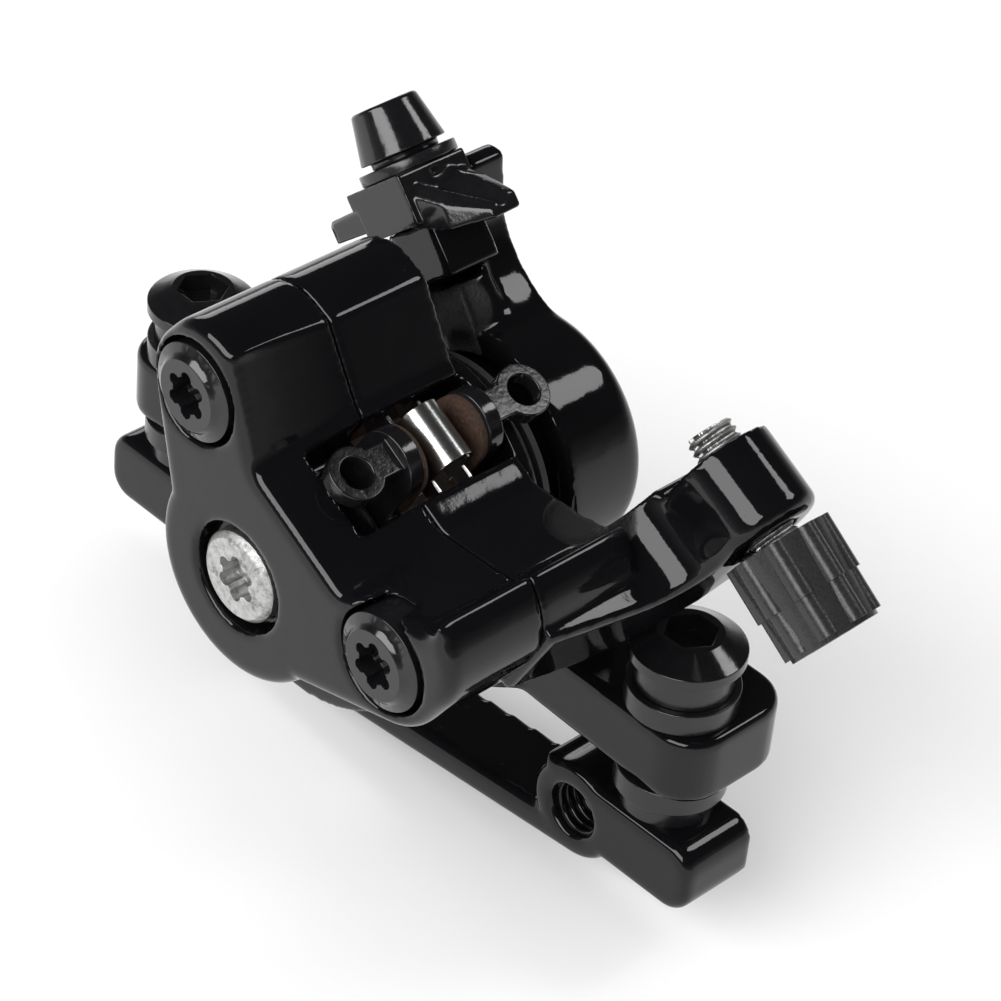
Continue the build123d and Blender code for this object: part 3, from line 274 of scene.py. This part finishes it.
class ThreadSettings(bpy.types.PropertyGroup):
    """Screw threads that show."""

    barrel_pitch: bpy.props.FloatProperty(
        name="Barrel pitch", description="Thread pitch of the barrel", unit="LENGTH",
        default=0.8 * MM,
    )
    hole_pitch: bpy.props.FloatProperty(
        name="Hole pitch", description="Thread pitch of the frame holes", unit="LENGTH",
        default=1.0 * MM,
    )
    depth: bpy.props.FloatProperty(
        name="Thread depth", description="Height of the thread's ridge", unit="LENGTH",
        default=0.34 * MM,
    )
    half_foot_share: bpy.props.FloatProperty(
        name="Foot", description="Half the ridge's width at its foot, as a share of the pitch",
        default=0.42,
    )
    half_crest_share: bpy.props.FloatProperty(
        name="Crest", description="Half the ridge's width at its crest, as a share of the pitch",
        default=0.06,
    )
    wall_bite: bpy.props.FloatProperty(
        name="Wall bite", description="How far a hole's thread stands in the hole's wall",
        unit="LENGTH", default=0.05 * MM,
    )
    bare_end: bpy.props.FloatProperty(
        name="Bare end", description="Length without a thread at each end of a hole",
        unit="LENGTH", default=0.5 * MM,
    )
    steps: bpy.props.IntProperty(
        name="Steps", description="Facets in each turn of a thread", default=36,
    )


class ClampSettings(bpy.types.PropertyGroup):
    """Place and lean of the cable clamp, and the reach of its plate's beak and lug."""

    centre: bpy.props.FloatVectorProperty(
        name="Centre", description="Point on the clamp bolt's axis", subtype="TRANSLATION",
        unit="LENGTH", default=(-35.157 * MM, -2.3 * MM, 53.72 * MM),
    )
    lean: bpy.props.FloatProperty(
        name="Lean", description="Turn of the bolt's axis from upright", subtype="ANGLE",
        default=math.radians(-41.4),
    )
    beak_foot: bpy.props.FloatProperty(
        name="Beak foot", description="From the bolt's axis to the beak's foot in the plate",
        unit="LENGTH", default=3.4 * MM,
    )
    beak_reach: bpy.props.FloatProperty(
        name="Beak reach", description="From the bolt's axis to the beak's tip",
        unit="LENGTH", default=11.7 * MM,
    )
    knee_share: bpy.props.FloatProperty(
        name="Knee", description="Share of the beak's reach where it bends down", default=0.68,
    )
    lug_foot: bpy.props.FloatProperty(
        name="Lug foot", description="From the bolt's axis to the lug's foot in the plate",
        unit="LENGTH", default=3.2 * MM,
    )
    lug_reach: bpy.props.FloatProperty(
        name="Lug reach", description="From the bolt's axis to the lug's end",
        unit="LENGTH", default=10.2 * MM,
    )


# Shader maths


class Wire:
    """A socket that takes part in Python expressions."""

    def __init__(self, tree, socket):
        self.tree = tree
        self.socket = socket

    def _math(self, operation, first, second):
        node = make_node(self.tree, "ShaderNodeMath", {"operation": operation})
        for slot, value in zip(node.inputs, (first, second)):
            join(self.tree, value, slot)
        return Wire(self.tree, node.outputs[0])

    def __add__(self, other):
        return self._math("ADD", self, other)

    def __radd__(self, other):
        return self._math("ADD", other, self)

    def __mul__(self, other):
        return self._math("MULTIPLY", self, other)

    def __rmul__(self, other):
        return self._math("MULTIPLY", other, self)


def make_node(tree, kind, settings=None, **inputs):
    """A node with its settings first, then the values or links of its sockets."""
    node = tree.nodes.new(kind)
    for key, value in (settings or {}).items():
        if key == "stops":
            ramp = node.color_ramp
            while len(ramp.elements) < len(value):
                ramp.elements.new(0.5)
            for element, (place, colour) in zip(ramp.elements, value):
                element.position = place
                element.color = colour
        else:
            setattr(node, key, value)
    for name, value in inputs.items():
        join(tree, value, node.inputs[name.replace("_", " ")])
    return node


def join(tree, value, socket):
    """Links a wire to a socket, or sets the socket's own value."""
    if isinstance(value, Wire):
        tree.links.new(value.socket, socket)
    else:
        socket.default_value = value


def grey(value):
    """Opaque grey."""
    return (value, value, value, 1)


def shade(colour, share=1.0):
    """Opaque colour, at a share of its brightness."""
    return (*(min(1, part * share) for part in colour), 1)


class Finish:
    """A material under construction: one Principled shader fed by procedural patterns."""

    def __init__(self, name):
        self.material = bpy.data.materials.new(name)
        self.material.use_nodes = True
        self.tree = self.material.node_tree
        self.tree.nodes.clear()
        self.shader = make_node(self.tree, "ShaderNodeBsdfPrincipled")
        output = make_node(self.tree, "ShaderNodeOutputMaterial")
        self.tree.links.new(self.shader.outputs[0], output.inputs["Surface"])
        place = make_node(self.tree, "ShaderNodeTexCoord")
        self.place = Wire(self.tree, place.outputs["Object"])
        self.bump_chain = None

    def set(self, **inputs):
        """Sets or links inputs of the shader."""
        for name, value in inputs.items():
            join(self.tree, value, self.shader.inputs[name.replace("_", " ")])

    def noise(self, size, detail=3.0, roughness=0.55, stretch=None):
        """Noise whose features are about a size in metres, finer along a stretched axis."""
        place = self.place
        if stretch:
            mapping = make_node(self.tree, "ShaderNodeMapping", Vector=place, Scale=stretch)
            place = Wire(self.tree, mapping.outputs[0])
        node = make_node(
            self.tree, "ShaderNodeTexNoise", Vector=place, Scale=1 / size,
            Detail=detail, Roughness=roughness,
        )
        return Wire(self.tree, node.outputs["Fac"])

    def spots(self, size):
        """Distance to the nearest of scattered points."""
        node = make_node(self.tree, "ShaderNodeTexVoronoi", Vector=self.place, Scale=1 / size)
        return Wire(self.tree, node.outputs["Distance"])

    def near(self, place, radius, solid_share=0.6):
        """One round a place, fading from a share of the radius to nothing at the radius."""
        node = make_node(self.tree, "ShaderNodeVectorMath", {"operation": "DISTANCE"})
        join(self.tree, self.place, node.inputs[0])
        join(self.tree, place, node.inputs[1])
        reach = Wire(self.tree, node.outputs["Value"])
        fade = make_node(
            self.tree, "ShaderNodeMapRange", {"interpolation_type": "SMOOTHSTEP"},
            Value=reach, From_Min=radius * solid_share, From_Max=radius,
            To_Min=1.0, To_Max=0.0,
        )
        return Wire(self.tree, fade.outputs[0])

    def ramp(self, factor, stops):
        """Colour ramp; stops are (place, colour)."""
        node = make_node(self.tree, "ShaderNodeValToRGB", {"stops": stops}, Fac=factor)
        return Wire(self.tree, node.outputs["Color"])

    def blend(self, factor, first, second):
        """Mix of two colours."""
        node = make_node(self.tree, "ShaderNodeMix", {"data_type": "RGBA"})
        join(self.tree, factor, node.inputs[MIX_FACTOR])
        join(self.tree, first, node.inputs[MIX_FIRST])
        join(self.tree, second, node.inputs[MIX_SECOND])
        return Wire(self.tree, node.outputs[MIX_RESULT])

    def tint(self, factor, colour, low, high):
        """A colour that goes from one share of itself to another."""
        return self.blend(factor, shade(colour, low), shade(colour, high))

    def bump(self, height, depth):
        """Adds a relief of a depth in metres to the surface."""
        inputs = {"Height": height, "Distance": depth, "Strength": 1.0}
        if self.bump_chain:
            inputs["Normal"] = self.bump_chain
        node = make_node(self.tree, "ShaderNodeBump", **inputs)
        self.bump_chain = Wire(self.tree, node.outputs[0])
        self.set(Normal=self.bump_chain)


# Materials


def gloss_paint(name, colour, waviness, rough_spots=()):
    """Thick gloss paint over a casting: slow waves, fine orange peel and a few specks.

    Each rough spot is (place, radius): there the casting's coarse skin shows under the paint.
    """
    wave_size, wave_depth = 7 * MM, 0.1 * MM
    peel_size, peel_depth = 0.9 * MM, 0.006 * MM
    speck_size, speck_share, speck_depth = 1.6 * MM, 0.05, 0.012 * MM
    pit_size, pit_depth = 0.45 * MM, 0.35 * MM
    haze_size = 4 * MM
    finish = Finish(name)
    waves = finish.noise(wave_size, detail=2.0)
    peel = finish.noise(peel_size, detail=2.0)
    specks = finish.ramp(finish.spots(speck_size), [(0.0, grey(1)), (speck_share, grey(0))])
    finish.set(
        Base_Color=finish.tint(waves, colour, low=1.0, high=1.6),
        Roughness=finish.noise(haze_size) * 0.06 + 0.035,
        IOR=1.38,
    )
    finish.bump(waves, wave_depth * waviness)
    finish.bump(peel, peel_depth)
    finish.bump(specks, speck_depth)
    for place, radius in rough_spots:
        pits = finish.noise(pit_size, detail=5.0, roughness=0.75) * finish.near(place, radius)
        finish.bump(pits, pit_depth)
    return finish.material


def coated_steel(name, colour, sheen):
    """Black coating on turned steel, a little dull, with handling marks."""
    mark_size, grain_size, grain_depth = 1.2 * MM, 0.6 * MM, 0.012 * MM
    finish = Finish(name)
    marks = finish.noise(mark_size, detail=5.0, roughness=0.7)
    finish.set(
        Base_Color=finish.tint(marks, colour, low=1.0, high=2.2),
        Roughness=marks * 0.16 + sheen,
        IOR=1.5,
    )
    finish.bump(finish.noise(grain_size), grain_depth)
    return finish.material


def bright_alloy(name, colour):
    """Machined alloy, mottled with dull blotches and fine scratches."""
    scratch_size, scratch_depth = 0.25 * MM, 0.03 * MM
    blotch_size, blotch_depth = 1.1 * MM, 0.12 * MM
    finish = Finish(name)
    scratches = finish.noise(scratch_size, detail=4.0, roughness=0.7, stretch=(1, 6, 1))
    blotches = finish.noise(blotch_size, detail=5.0, roughness=0.8)
    tones = [(0.36, shade(colour, 0.35)), (0.47, shade(colour, 0.75)), (0.62, shade(colour))]
    finish.set(
        Base_Color=finish.ramp(blotches, tones),
        Metallic=1.0,
        Roughness=scratches * 0.25 + 0.25,
    )
    finish.bump(blotches, blotch_depth)
    finish.bump(scratches, scratch_depth)
    return finish.material


def friction_lining(name, colour):
    """Sintered lining: brown grain with bright and dark flecks."""
    grain_size, grain_depth = 0.35 * MM, 0.06 * MM
    finish = Finish(name)
    grain = finish.noise(grain_size, detail=5.0, roughness=0.8)
    tones = [(0.3, shade(colour, 0.3)), (0.55, shade(colour)), (0.8, shade(colour, 2.6))]
    finish.set(
        Base_Color=finish.ramp(grain, tones), Roughness=grain * 0.3 + 0.55, Metallic=0.15,
    )
    finish.bump(grain, grain_depth)
    return finish.material


def grained(name, colour, pattern, low, high, smoothest, spread, depth, **fixed):
    """Surface whose colour, dullness and relief all follow one grain.

    The pattern gives the grain's noise, low and high the colour's shares, smoothest and
    spread the roughness, and fixed the shader's even values.
    """
    finish = Finish(name)
    grain = finish.noise(**pattern)
    finish.set(
        Base_Color=finish.tint(grain, colour, low, high),
        Roughness=grain * spread + smoothest,
        **fixed,
    )
    finish.bump(grain, depth)
    return finish.material


def rough_coating(name, colour):
    """Grainy black coating of the washers."""
    return grained(
        name, colour, {"size": 0.4 * MM, "detail": 4.0, "roughness": 0.7},
        low=1.0, high=3.0, smoothest=0.12, spread=0.2, depth=0.02 * MM, IOR=1.5,
    )


def plain_steel(name, colour, sheen):
    """Turned steel."""
    return grained(
        name, colour, {"size": 0.5 * MM, "detail": 4.0},
        low=0.75, high=1.0, smoothest=sheen, spread=0.2, depth=0.008 * MM, Metallic=1.0,
    )


def spring_strip(name, colour):
    """Bright rolled strip with faint lines along it."""
    return grained(
        name, colour, {"size": 0.5 * MM, "roughness": 0.6, "stretch": (1, 1, 7)},
        low=0.8, high=1.0, smoothest=0.14, spread=0.14, depth=0.006 * MM, Metallic=1.0,
    )


def moulded_plastic(name, colour):
    """Matt black plastic with a moulded grain."""
    return grained(
        name, colour, {"size": 0.3 * MM, "roughness": 0.6},
        low=1.0, high=1.8, smoothest=0.16, spread=0.25, depth=0.02 * MM, IOR=1.45,
    )


def matt_rubber(name, colour):
    """Dull rubber."""
    return grained(
        name, colour, {"size": 0.4 * MM},
        low=1.0, high=2.0, smoothest=0.5, spread=0.2, depth=0.02 * MM,
    )


def floor_paper(name, colour):
    """Pale paper floor."""
    fibre_size = 3 * MM
    finish = Finish(name)
    fibres = finish.noise(fibre_size, detail=4.0)
    finish.set(
        Base_Color=finish.tint(fibres, colour, low=0.99, high=1.0),
        Roughness=fibres * 0.1 + 0.8,
    )
    return finish.material


# Mesh helpers


def finished(mesh, name, body, slot_name, material, *replaced):
    """Object from a bmesh, on its body. The slot name is not used."""
    bmesh.ops.remove_doubles(mesh, verts=mesh.verts, dist=MERGE)
    bmesh.ops.recalc_face_normals(mesh, faces=mesh.faces)
    data = bpy.data.meshes.new(name)
    mesh.to_mesh(data)
    mesh.free()
    data.shade_smooth()
    piece = bpy.data.objects.new(name, data)
    bpy.context.scene.collection.objects.link(piece)
    data.materials.append(material)
    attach(piece, body)
    if replaced:
        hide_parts(*replaced)
    return piece


def crease(piece):
    """Flat faces stay flat and crisp under smooth shading."""
    crisp = piece.modifiers.new("crisp", "WEIGHTED_NORMAL")
    crisp.mode = "FACE_AREA"


def square_to(axis):
    """A direction square to an axis."""
    return axis.orthogonal().normalized()


def ring(mesh, centre, axis, steps, profile):
    """Full turn of a closed profile of (radius, along) points."""
    radial = square_to(axis)
    verts = [mesh.verts.new(centre + radial * r + axis * a) for r, a in profile]
    face = mesh.faces.new(verts)
    bmesh.ops.spin(
        mesh, geom=[*verts, *face.edges, face], cent=centre, axis=axis,
        angle=math.tau, steps=steps, use_merge=True,
    )


def helix(mesh, centre, axis, threads, pitch, foot, crest, start, end):
    """Ridge of a screw thread from a foot radius to a crest radius."""
    radial = square_to(axis)
    turns = (end - start - pitch) / pitch
    steps = round(turns * threads.steps)
    half = pitch * threads.half_foot_share
    flat = pitch * threads.half_crest_share
    profile = (
        (foot, start), (crest, start + half - flat),
        (crest, start + half + flat), (foot, start + 2 * half),
    )
    verts = [mesh.verts.new(centre + radial * r + axis * a) for r, a in profile]
    face = mesh.faces.new(verts)
    bmesh.ops.spin(
        mesh, geom=[*verts, *face.edges, face], cent=centre, axis=axis,
        dvec=axis * (pitch / threads.steps), angle=math.tau * steps / threads.steps,
        steps=steps,
    )


def node_copy(node):
    """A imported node's mesh as a bmesh, its corners merged."""
    mesh = bmesh.new()
    mesh.from_mesh(nodes[node].data)
    bmesh.ops.remove_doubles(mesh, verts=mesh.verts, dist=MERGE)
    return mesh


def rounded(node, width):
    """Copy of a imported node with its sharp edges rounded; it stands in for the node."""
    edges = bpy.context.scene.caliper_edges
    mesh = node_copy(node)
    bmesh.ops.dissolve_limit(
        mesh, angle_limit=edges.flat_angle, verts=mesh.verts, edges=mesh.edges,
    )
    sharp = [
        edge for edge in mesh.edges
        if edge.is_manifold and edge.calc_face_angle() > edges.sharp_angle
    ]
    bmesh.ops.bevel(
        mesh, geom=sharp, offset=width, offset_type="OFFSET",
        segments=edges.edge_segments, profile=0.5, affect="EDGES", clamp_overlap=True,
        material=-1,
    )
    data = bpy.data.meshes.new(node)
    mesh.to_mesh(data)
    mesh.free()
    data.shade_smooth()
    crease(stand_in(node, data))


def stand_in(node, data):
    """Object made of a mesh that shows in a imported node's place, with its finish."""
    piece = bpy.data.objects.new(f"{node}_skin", data)
    bpy.context.scene.collection.objects.link(piece)
    data.name = piece.name
    data.materials.clear()
    data.materials.append(nodes[node].data.materials[0])
    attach(piece, body_of[node])
    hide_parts(node)
    return piece


def cast(node, mesh, grain, passes):
    """Casting in a node's place, every edge and inner corner softened, as paint does."""
    data = bpy.data.meshes.new(f"{node}_rough")
    mesh.to_mesh(data)
    mesh.free()
    rough = bpy.data.objects.new(data.name, data)
    bpy.context.scene.collection.objects.link(rough)
    remesh = rough.modifiers.new("remesh", "REMESH")
    remesh.mode = "VOXEL"
    remesh.voxel_size = grain
    remesh.use_smooth_shade = True
    soften = rough.modifiers.new("soften", "SMOOTH")
    soften.factor = bpy.context.scene.caliper_edges.softening
    soften.iterations = passes
    ready = rough.evaluated_get(bpy.context.evaluated_depsgraph_get())
    soft = bpy.data.meshes.new_from_object(ready)
    bpy.data.objects.remove(rough)
    bpy.data.meshes.remove(data)
    stand_in(node, soft)


def repaint(node, material):
    """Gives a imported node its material."""
    target = nodes[node]
    target.data.materials.clear()
    target.data.materials.append(material)


# Operators


class CALIPER_OT_stage(bpy.types.Operator):
    """Camera, floor, lamps and sky"""

    bl_idname = "caliper.stage"
    bl_label = "Build stage"

    def execute(self, context):
        settings = context.scene.caliper_stage
        scene = context.scene
        scene.view_settings.view_transform = "Standard"
        lens = bpy.data.cameras.new("camera")
        lens.sensor_width = settings.camera_sensor
        lens.lens = settings.camera_lens
        lens.clip_start = settings.camera_near
        camera = bpy.data.objects.new("camera", lens)
        scene.collection.objects.link(camera)
        turn, roll = settings.camera_azimuth, settings.camera_roll
        back = self.toward(turn, settings.camera_elevation)
        level = Vector((math.cos(turn), math.sin(turn), 0))
        upright = back.cross(level)
        right = level * math.cos(roll) + upright * math.sin(roll)
        up = upright * math.cos(roll) - level * math.sin(roll)
        pose = Matrix((right, up, back)).transposed().to_4x4()
        pose.translation = settings.camera_place
        camera.matrix_world = pose
        scene.camera = camera

        low, _ = cad_box
        mesh = bmesh.new()
        bmesh.ops.create_grid(mesh, x_segments=1, y_segments=1, size=settings.floor_size / 2)
        bmesh.ops.translate(mesh, verts=mesh.verts, vec=(0, 0, low[2] - settings.floor_gap))
        data = bpy.data.meshes.new("floor")
        mesh.to_mesh(data)
        mesh.free()
        floor = bpy.data.objects.new("floor", data)
        scene.collection.objects.link(floor)
        data.materials.append(floor_paper("floor_paper", settings.floor_colour))

        for name, azimuth, elevation, width, height, glow in SOFT_BOXES:
            side = self.toward(math.radians(azimuth), math.radians(elevation))
            self.lamp(settings, name, side, width, height, getattr(settings, glow))
        self.sky(scene, settings.sky_strength)
        return {"FINISHED"}

    def toward(self, turn, rise):
        """Direction out from the brake, at a turn from its front and a height angle."""
        return Vector(
            (math.sin(turn) * math.cos(rise), -math.cos(turn) * math.cos(rise), math.sin(rise))
        )

    def lamp(self, settings, name, side, width, height, glow):
        """Soft box of a size and glow that faces the target from one side."""
        light = bpy.data.lights.new(name, "AREA")
        light.shape = "RECTANGLE"
        light.size, light.size_y = width, height
        light.energy = math.pi * width * height * glow
        lamp = bpy.data.objects.new(name, light)
        lamp.location = Vector(settings.lamp_target) + side * settings.lamp_distance
        lamp.rotation_euler = (-side).to_track_quat("-Z", "Y").to_euler()
        bpy.context.scene.collection.objects.link(lamp)

    def sky(self, scene, strength):
        """White to the camera; in reflections, bright at the horizon and dark overhead."""
        world = bpy.data.worlds.new("sky")
        scene.world = world
        world.use_nodes = True
        tree = world.node_tree
        tree.nodes.clear()
        direction = Wire(tree, make_node(tree, "ShaderNodeTexCoord").outputs["Generated"])
        split = make_node(tree, "ShaderNodeSeparateXYZ", Vector=direction)
        height = Wire(tree, split.outputs["Z"])
        stops = [(place, grey(level)) for place, level in SKY_LEVELS]
        gradient = make_node(tree, "ShaderNodeValToRGB", {"stops": stops}, Fac=height)
        rays = make_node(tree, "ShaderNodeLightPath")
        glossy = Wire(tree, rays.outputs["Is Glossy Ray"])
        camera = Wire(tree, rays.outputs["Is Camera Ray"])
        soft = make_node(tree, "ShaderNodeBackground", Color=grey(1), Strength=strength)
        mirror = make_node(
            tree, "ShaderNodeBackground", Color=Wire(tree, gradient.outputs[0]), Strength=1.0
        )
        white = make_node(tree, "ShaderNodeBackground", Color=grey(1), Strength=1.0)
        first = make_node(tree, "ShaderNodeMixShader", Fac=glossy)
        tree.links.new(soft.outputs[0], first.inputs[1])
        tree.links.new(mirror.outputs[0], first.inputs[2])
        second = make_node(tree, "ShaderNodeMixShader", Fac=camera)
        tree.links.new(first.outputs[0], second.inputs[1])
        tree.links.new(white.outputs[0], second.inputs[2])
        output = make_node(tree, "ShaderNodeOutputWorld")
        tree.links.new(second.outputs[0], output.inputs["Surface"])


class CALIPER_OT_finishes(bpy.types.Operator):
    """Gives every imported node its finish"""

    bl_idname = "caliper.finishes"
    bl_label = "Paint the nodes"

    def execute(self, context):
        paint = context.scene.caliper_paint
        finishes = {
            "housing_paint": gloss_paint(
                "housing_paint", paint.paint, waviness=0.5,
                rough_spots=[(paint.valley_pits, paint.valley_pits_reach)],
            ),
            "bracket_paint": gloss_paint("bracket_paint", paint.paint, waviness=0.4),
            "lever_paint": gloss_paint(
                "lever_paint", paint.paint, waviness=0.8,
                rough_spots=[
                    (paint.lever_pits, paint.lever_pits_reach),
                    (paint.lever_pits_low, paint.lever_pits_low_reach),
                ],
            ),
            "black_bolt": coated_steel("black_bolt", paint.coated, sheen=0.05),
            "black_washer": rough_coating("black_washer", paint.coated),
            "pad_steel": coated_steel("pad_steel", paint.coated, sheen=0.04),
            "bright_alloy": bright_alloy("bright_alloy", paint.alloy),
            "plain_steel": plain_steel("plain_steel", paint.steel, sheen=0.25),
            "ball_steel": plain_steel("ball_steel", paint.alloy, sheen=0.05),
            "friction": friction_lining("friction", paint.friction),
            "spring_steel": spring_strip("spring_steel", paint.alloy),
            "seal_rubber": matt_rubber("seal_rubber", paint.rubber),
            "knob_plastic": moulded_plastic("knob_plastic", paint.plastic),
        }
        for entry in frame["record"]["subparts"]:
            repaint(entry["node"], finishes[entry["material_slot"]])
        return {"FINISHED"}


class CALIPER_OT_edges(bpy.types.Operator):
    """Rounds the edges of the steel and moulded nodes and softens the castings"""

    bl_idname = "caliper.edges"
    bl_label = "Round the edges"

    def execute(self, context):
        edges = context.scene.caliper_edges
        for node in (
            "mount_bolts", "lever_bolt", "clamp_bolt", "clamp_washer", "lever_washer",
            "inner_pad_plate", "outer_pad_plate", "upper_cup_washers", "lower_cup_washers",
        ):
            rounded(node, edges.steel_edge)
        for node in ("body_bolts", "pad_adjuster", "barrel_knob", "pad_spring"):
            rounded(node, edges.fine_edge)
        for node in ("outer_housing", "inner_housing", "adapter_bracket"):
            cast(node, node_copy(node), edges.casting_grain, edges.casting_passes)
        cast("lever_arm", node_copy("lever_arm"), edges.casting_grain, edges.lever_passes)
        return {"FINISHED"}


class CALIPER_OT_clamp(bpy.types.Operator):
    """Adds the ridged beak and the lug to the cable clamp's plate and softens it"""

    bl_idname = "caliper.clamp"
    bl_label = "Shape the clamp plate"

    def execute(self, context):
        clamp = context.scene.caliper_clamp
        edges = context.scene.caliper_edges
        mesh = node_copy("clamp_plate")
        knee = clamp.beak_reach * clamp.knee_share
        self.loft(mesh, clamp, (clamp.beak_foot, knee, clamp.beak_reach), BEAK_SECTIONS)
        self.loft(mesh, clamp, (-clamp.lug_foot, -clamp.lug_reach), LUG_SECTIONS)
        cast("clamp_plate", mesh, edges.clamp_grain, edges.clamp_passes)
        return {"FINISHED"}

    def loft(self, mesh, clamp, heights, sections):
        """Closed skin through sections, each at its height up the plate."""
        verts = [mesh.verts.new(self.place(clamp, heights[0], point)) for point in sections[0]]
        foot = mesh.faces.new(verts)
        face = foot
        for up, section in zip(heights[1:], sections[1:]):
            grown = bmesh.ops.extrude_face_region(mesh, geom=[face])["geom"]
            ends = [part for part in grown if isinstance(part, bmesh.types.BMFace)]
            if face is not foot:
                bmesh.ops.delete(mesh, geom=[face], context="FACES_ONLY")
            face = ends[0]
            for vert, point in zip(face.verts, section):
                vert.co = self.place(clamp, up, point)
        bmesh.ops.recalc_face_normals(mesh, faces=mesh.faces)

    def place(self, clamp, up, point):
        """Place of a (front, out) point in mm at a height up the plate."""
        front, out = point
        turn = Matrix.Rotation(clamp.lean, 3, "Y")
        return Vector(clamp.centre) + turn @ Vector((up, -front * MM, out * MM))


class CALIPER_OT_threads(bpy.types.Operator):
    """Cuts the barrel's thread and the threads of the frame holes"""

    bl_idname = "caliper.threads"
    bl_label = "Cut the threads"

    def execute(self, context):
        threads = context.scene.caliper_threads
        mounts = {mount["name"]: mount for mount in frame["record"]["mounts"]}
        self.barrel(threads, mounts["cable_housing_socket"])
        for name in ("upper_frame_hole", "lower_frame_hole"):
            self.hole(threads, mounts[name])
        return {"FINISHED"}

    def barrel(self, threads, socket):
        """Threaded tube in the place of the plain one, on the housing socket's axis."""
        axis = Vector(socket["axis"]).normalized()
        centre = Vector(socket["pos_m"])
        points = [vert.co - centre for vert in nodes["cable_barrel"].data.vertices]
        along = [point.dot(axis) for point in points]
        away = [(point - axis * reach).length for point, reach in zip(points, along)]
        start, end, outer, bore = min(along), max(along), max(away), min(away)
        core = outer - threads.depth
        mesh = bmesh.new()
        ring(
            mesh, centre, axis, threads.steps,
            ((bore, start), (core, start), (core, end), (bore, end)),
        )
        helix(mesh, centre, axis, threads, threads.barrel_pitch, core, outer, start, end)
        crease(finished(
            mesh, "cable_barrel_skin", body_of["cable_barrel"], slot_of["cable_barrel"],
            nodes["cable_barrel"].data.materials[0], "cable_barrel",
        ))

    def hole(self, threads, hole):
        """Thread that winds through a hole of the bracket, just inside its wall."""
        low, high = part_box("adapter_bracket")
        radius = hole["dims"]["r_mm"] * MM
        centre = Vector((hole["pos_m"][0], 0, hole["pos_m"][2]))
        mesh = bmesh.new()
        helix(
            mesh, centre, Vector((0, 1, 0)), threads, threads.hole_pitch,
            radius + threads.wall_bite, radius - threads.depth,
            low.y + threads.bare_end, high.y - threads.bare_end,
        )
        crease(finished(
            mesh, f"{hole['name']}_thread", body_of["adapter_bracket"],
            slot_of["adapter_bracket"], nodes["adapter_bracket"].data.materials[0],
        ))


class CALIPER_PT_panel(bpy.types.Panel):
    """Lists the caliper's steps"""

    bl_label = "Caliper"
    bl_space_type = "VIEW_3D"
    bl_region_type = "UI"
    bl_category = "Caliper"

    def draw(self, context):
        for operator in OPERATORS:
            self.layout.operator(operator.bl_idname)


SETTINGS = {
    "caliper_stage": StageSettings,
    "caliper_paint": PaintSettings,
    "caliper_edges": EdgeSettings,
    "caliper_threads": ThreadSettings,
    "caliper_clamp": ClampSettings,
}
OPERATORS = (
    CALIPER_OT_stage, CALIPER_OT_finishes, CALIPER_OT_edges, CALIPER_OT_clamp,
    CALIPER_OT_threads,
)


def register():
    """Registers the settings, operators and panel."""
    for name, group in SETTINGS.items():
        bpy.utils.register_class(group)
        setattr(bpy.types.Scene, name, bpy.props.PointerProperty(type=group))
    for operator in OPERATORS:
        bpy.utils.register_class(operator)
    bpy.utils.register_class(CALIPER_PT_panel)


def unregister():
    """Takes the settings, operators and panel away."""
    bpy.utils.unregister_class(CALIPER_PT_panel)
    for operator in reversed(OPERATORS):
        bpy.utils.unregister_class(operator)
    for name, group in SETTINGS.items():
        delattr(bpy.types.Scene, name)
        bpy.utils.unregister_class(group)


def main():
    """Builds the stage and the looks."""
    register()
    bpy.ops.caliper.stage()
    bpy.ops.caliper.finishes()
    bpy.ops.caliper.edges()
    bpy.ops.caliper.clamp()
    bpy.ops.caliper.threads()


if __name__ == "__main__":
    main()
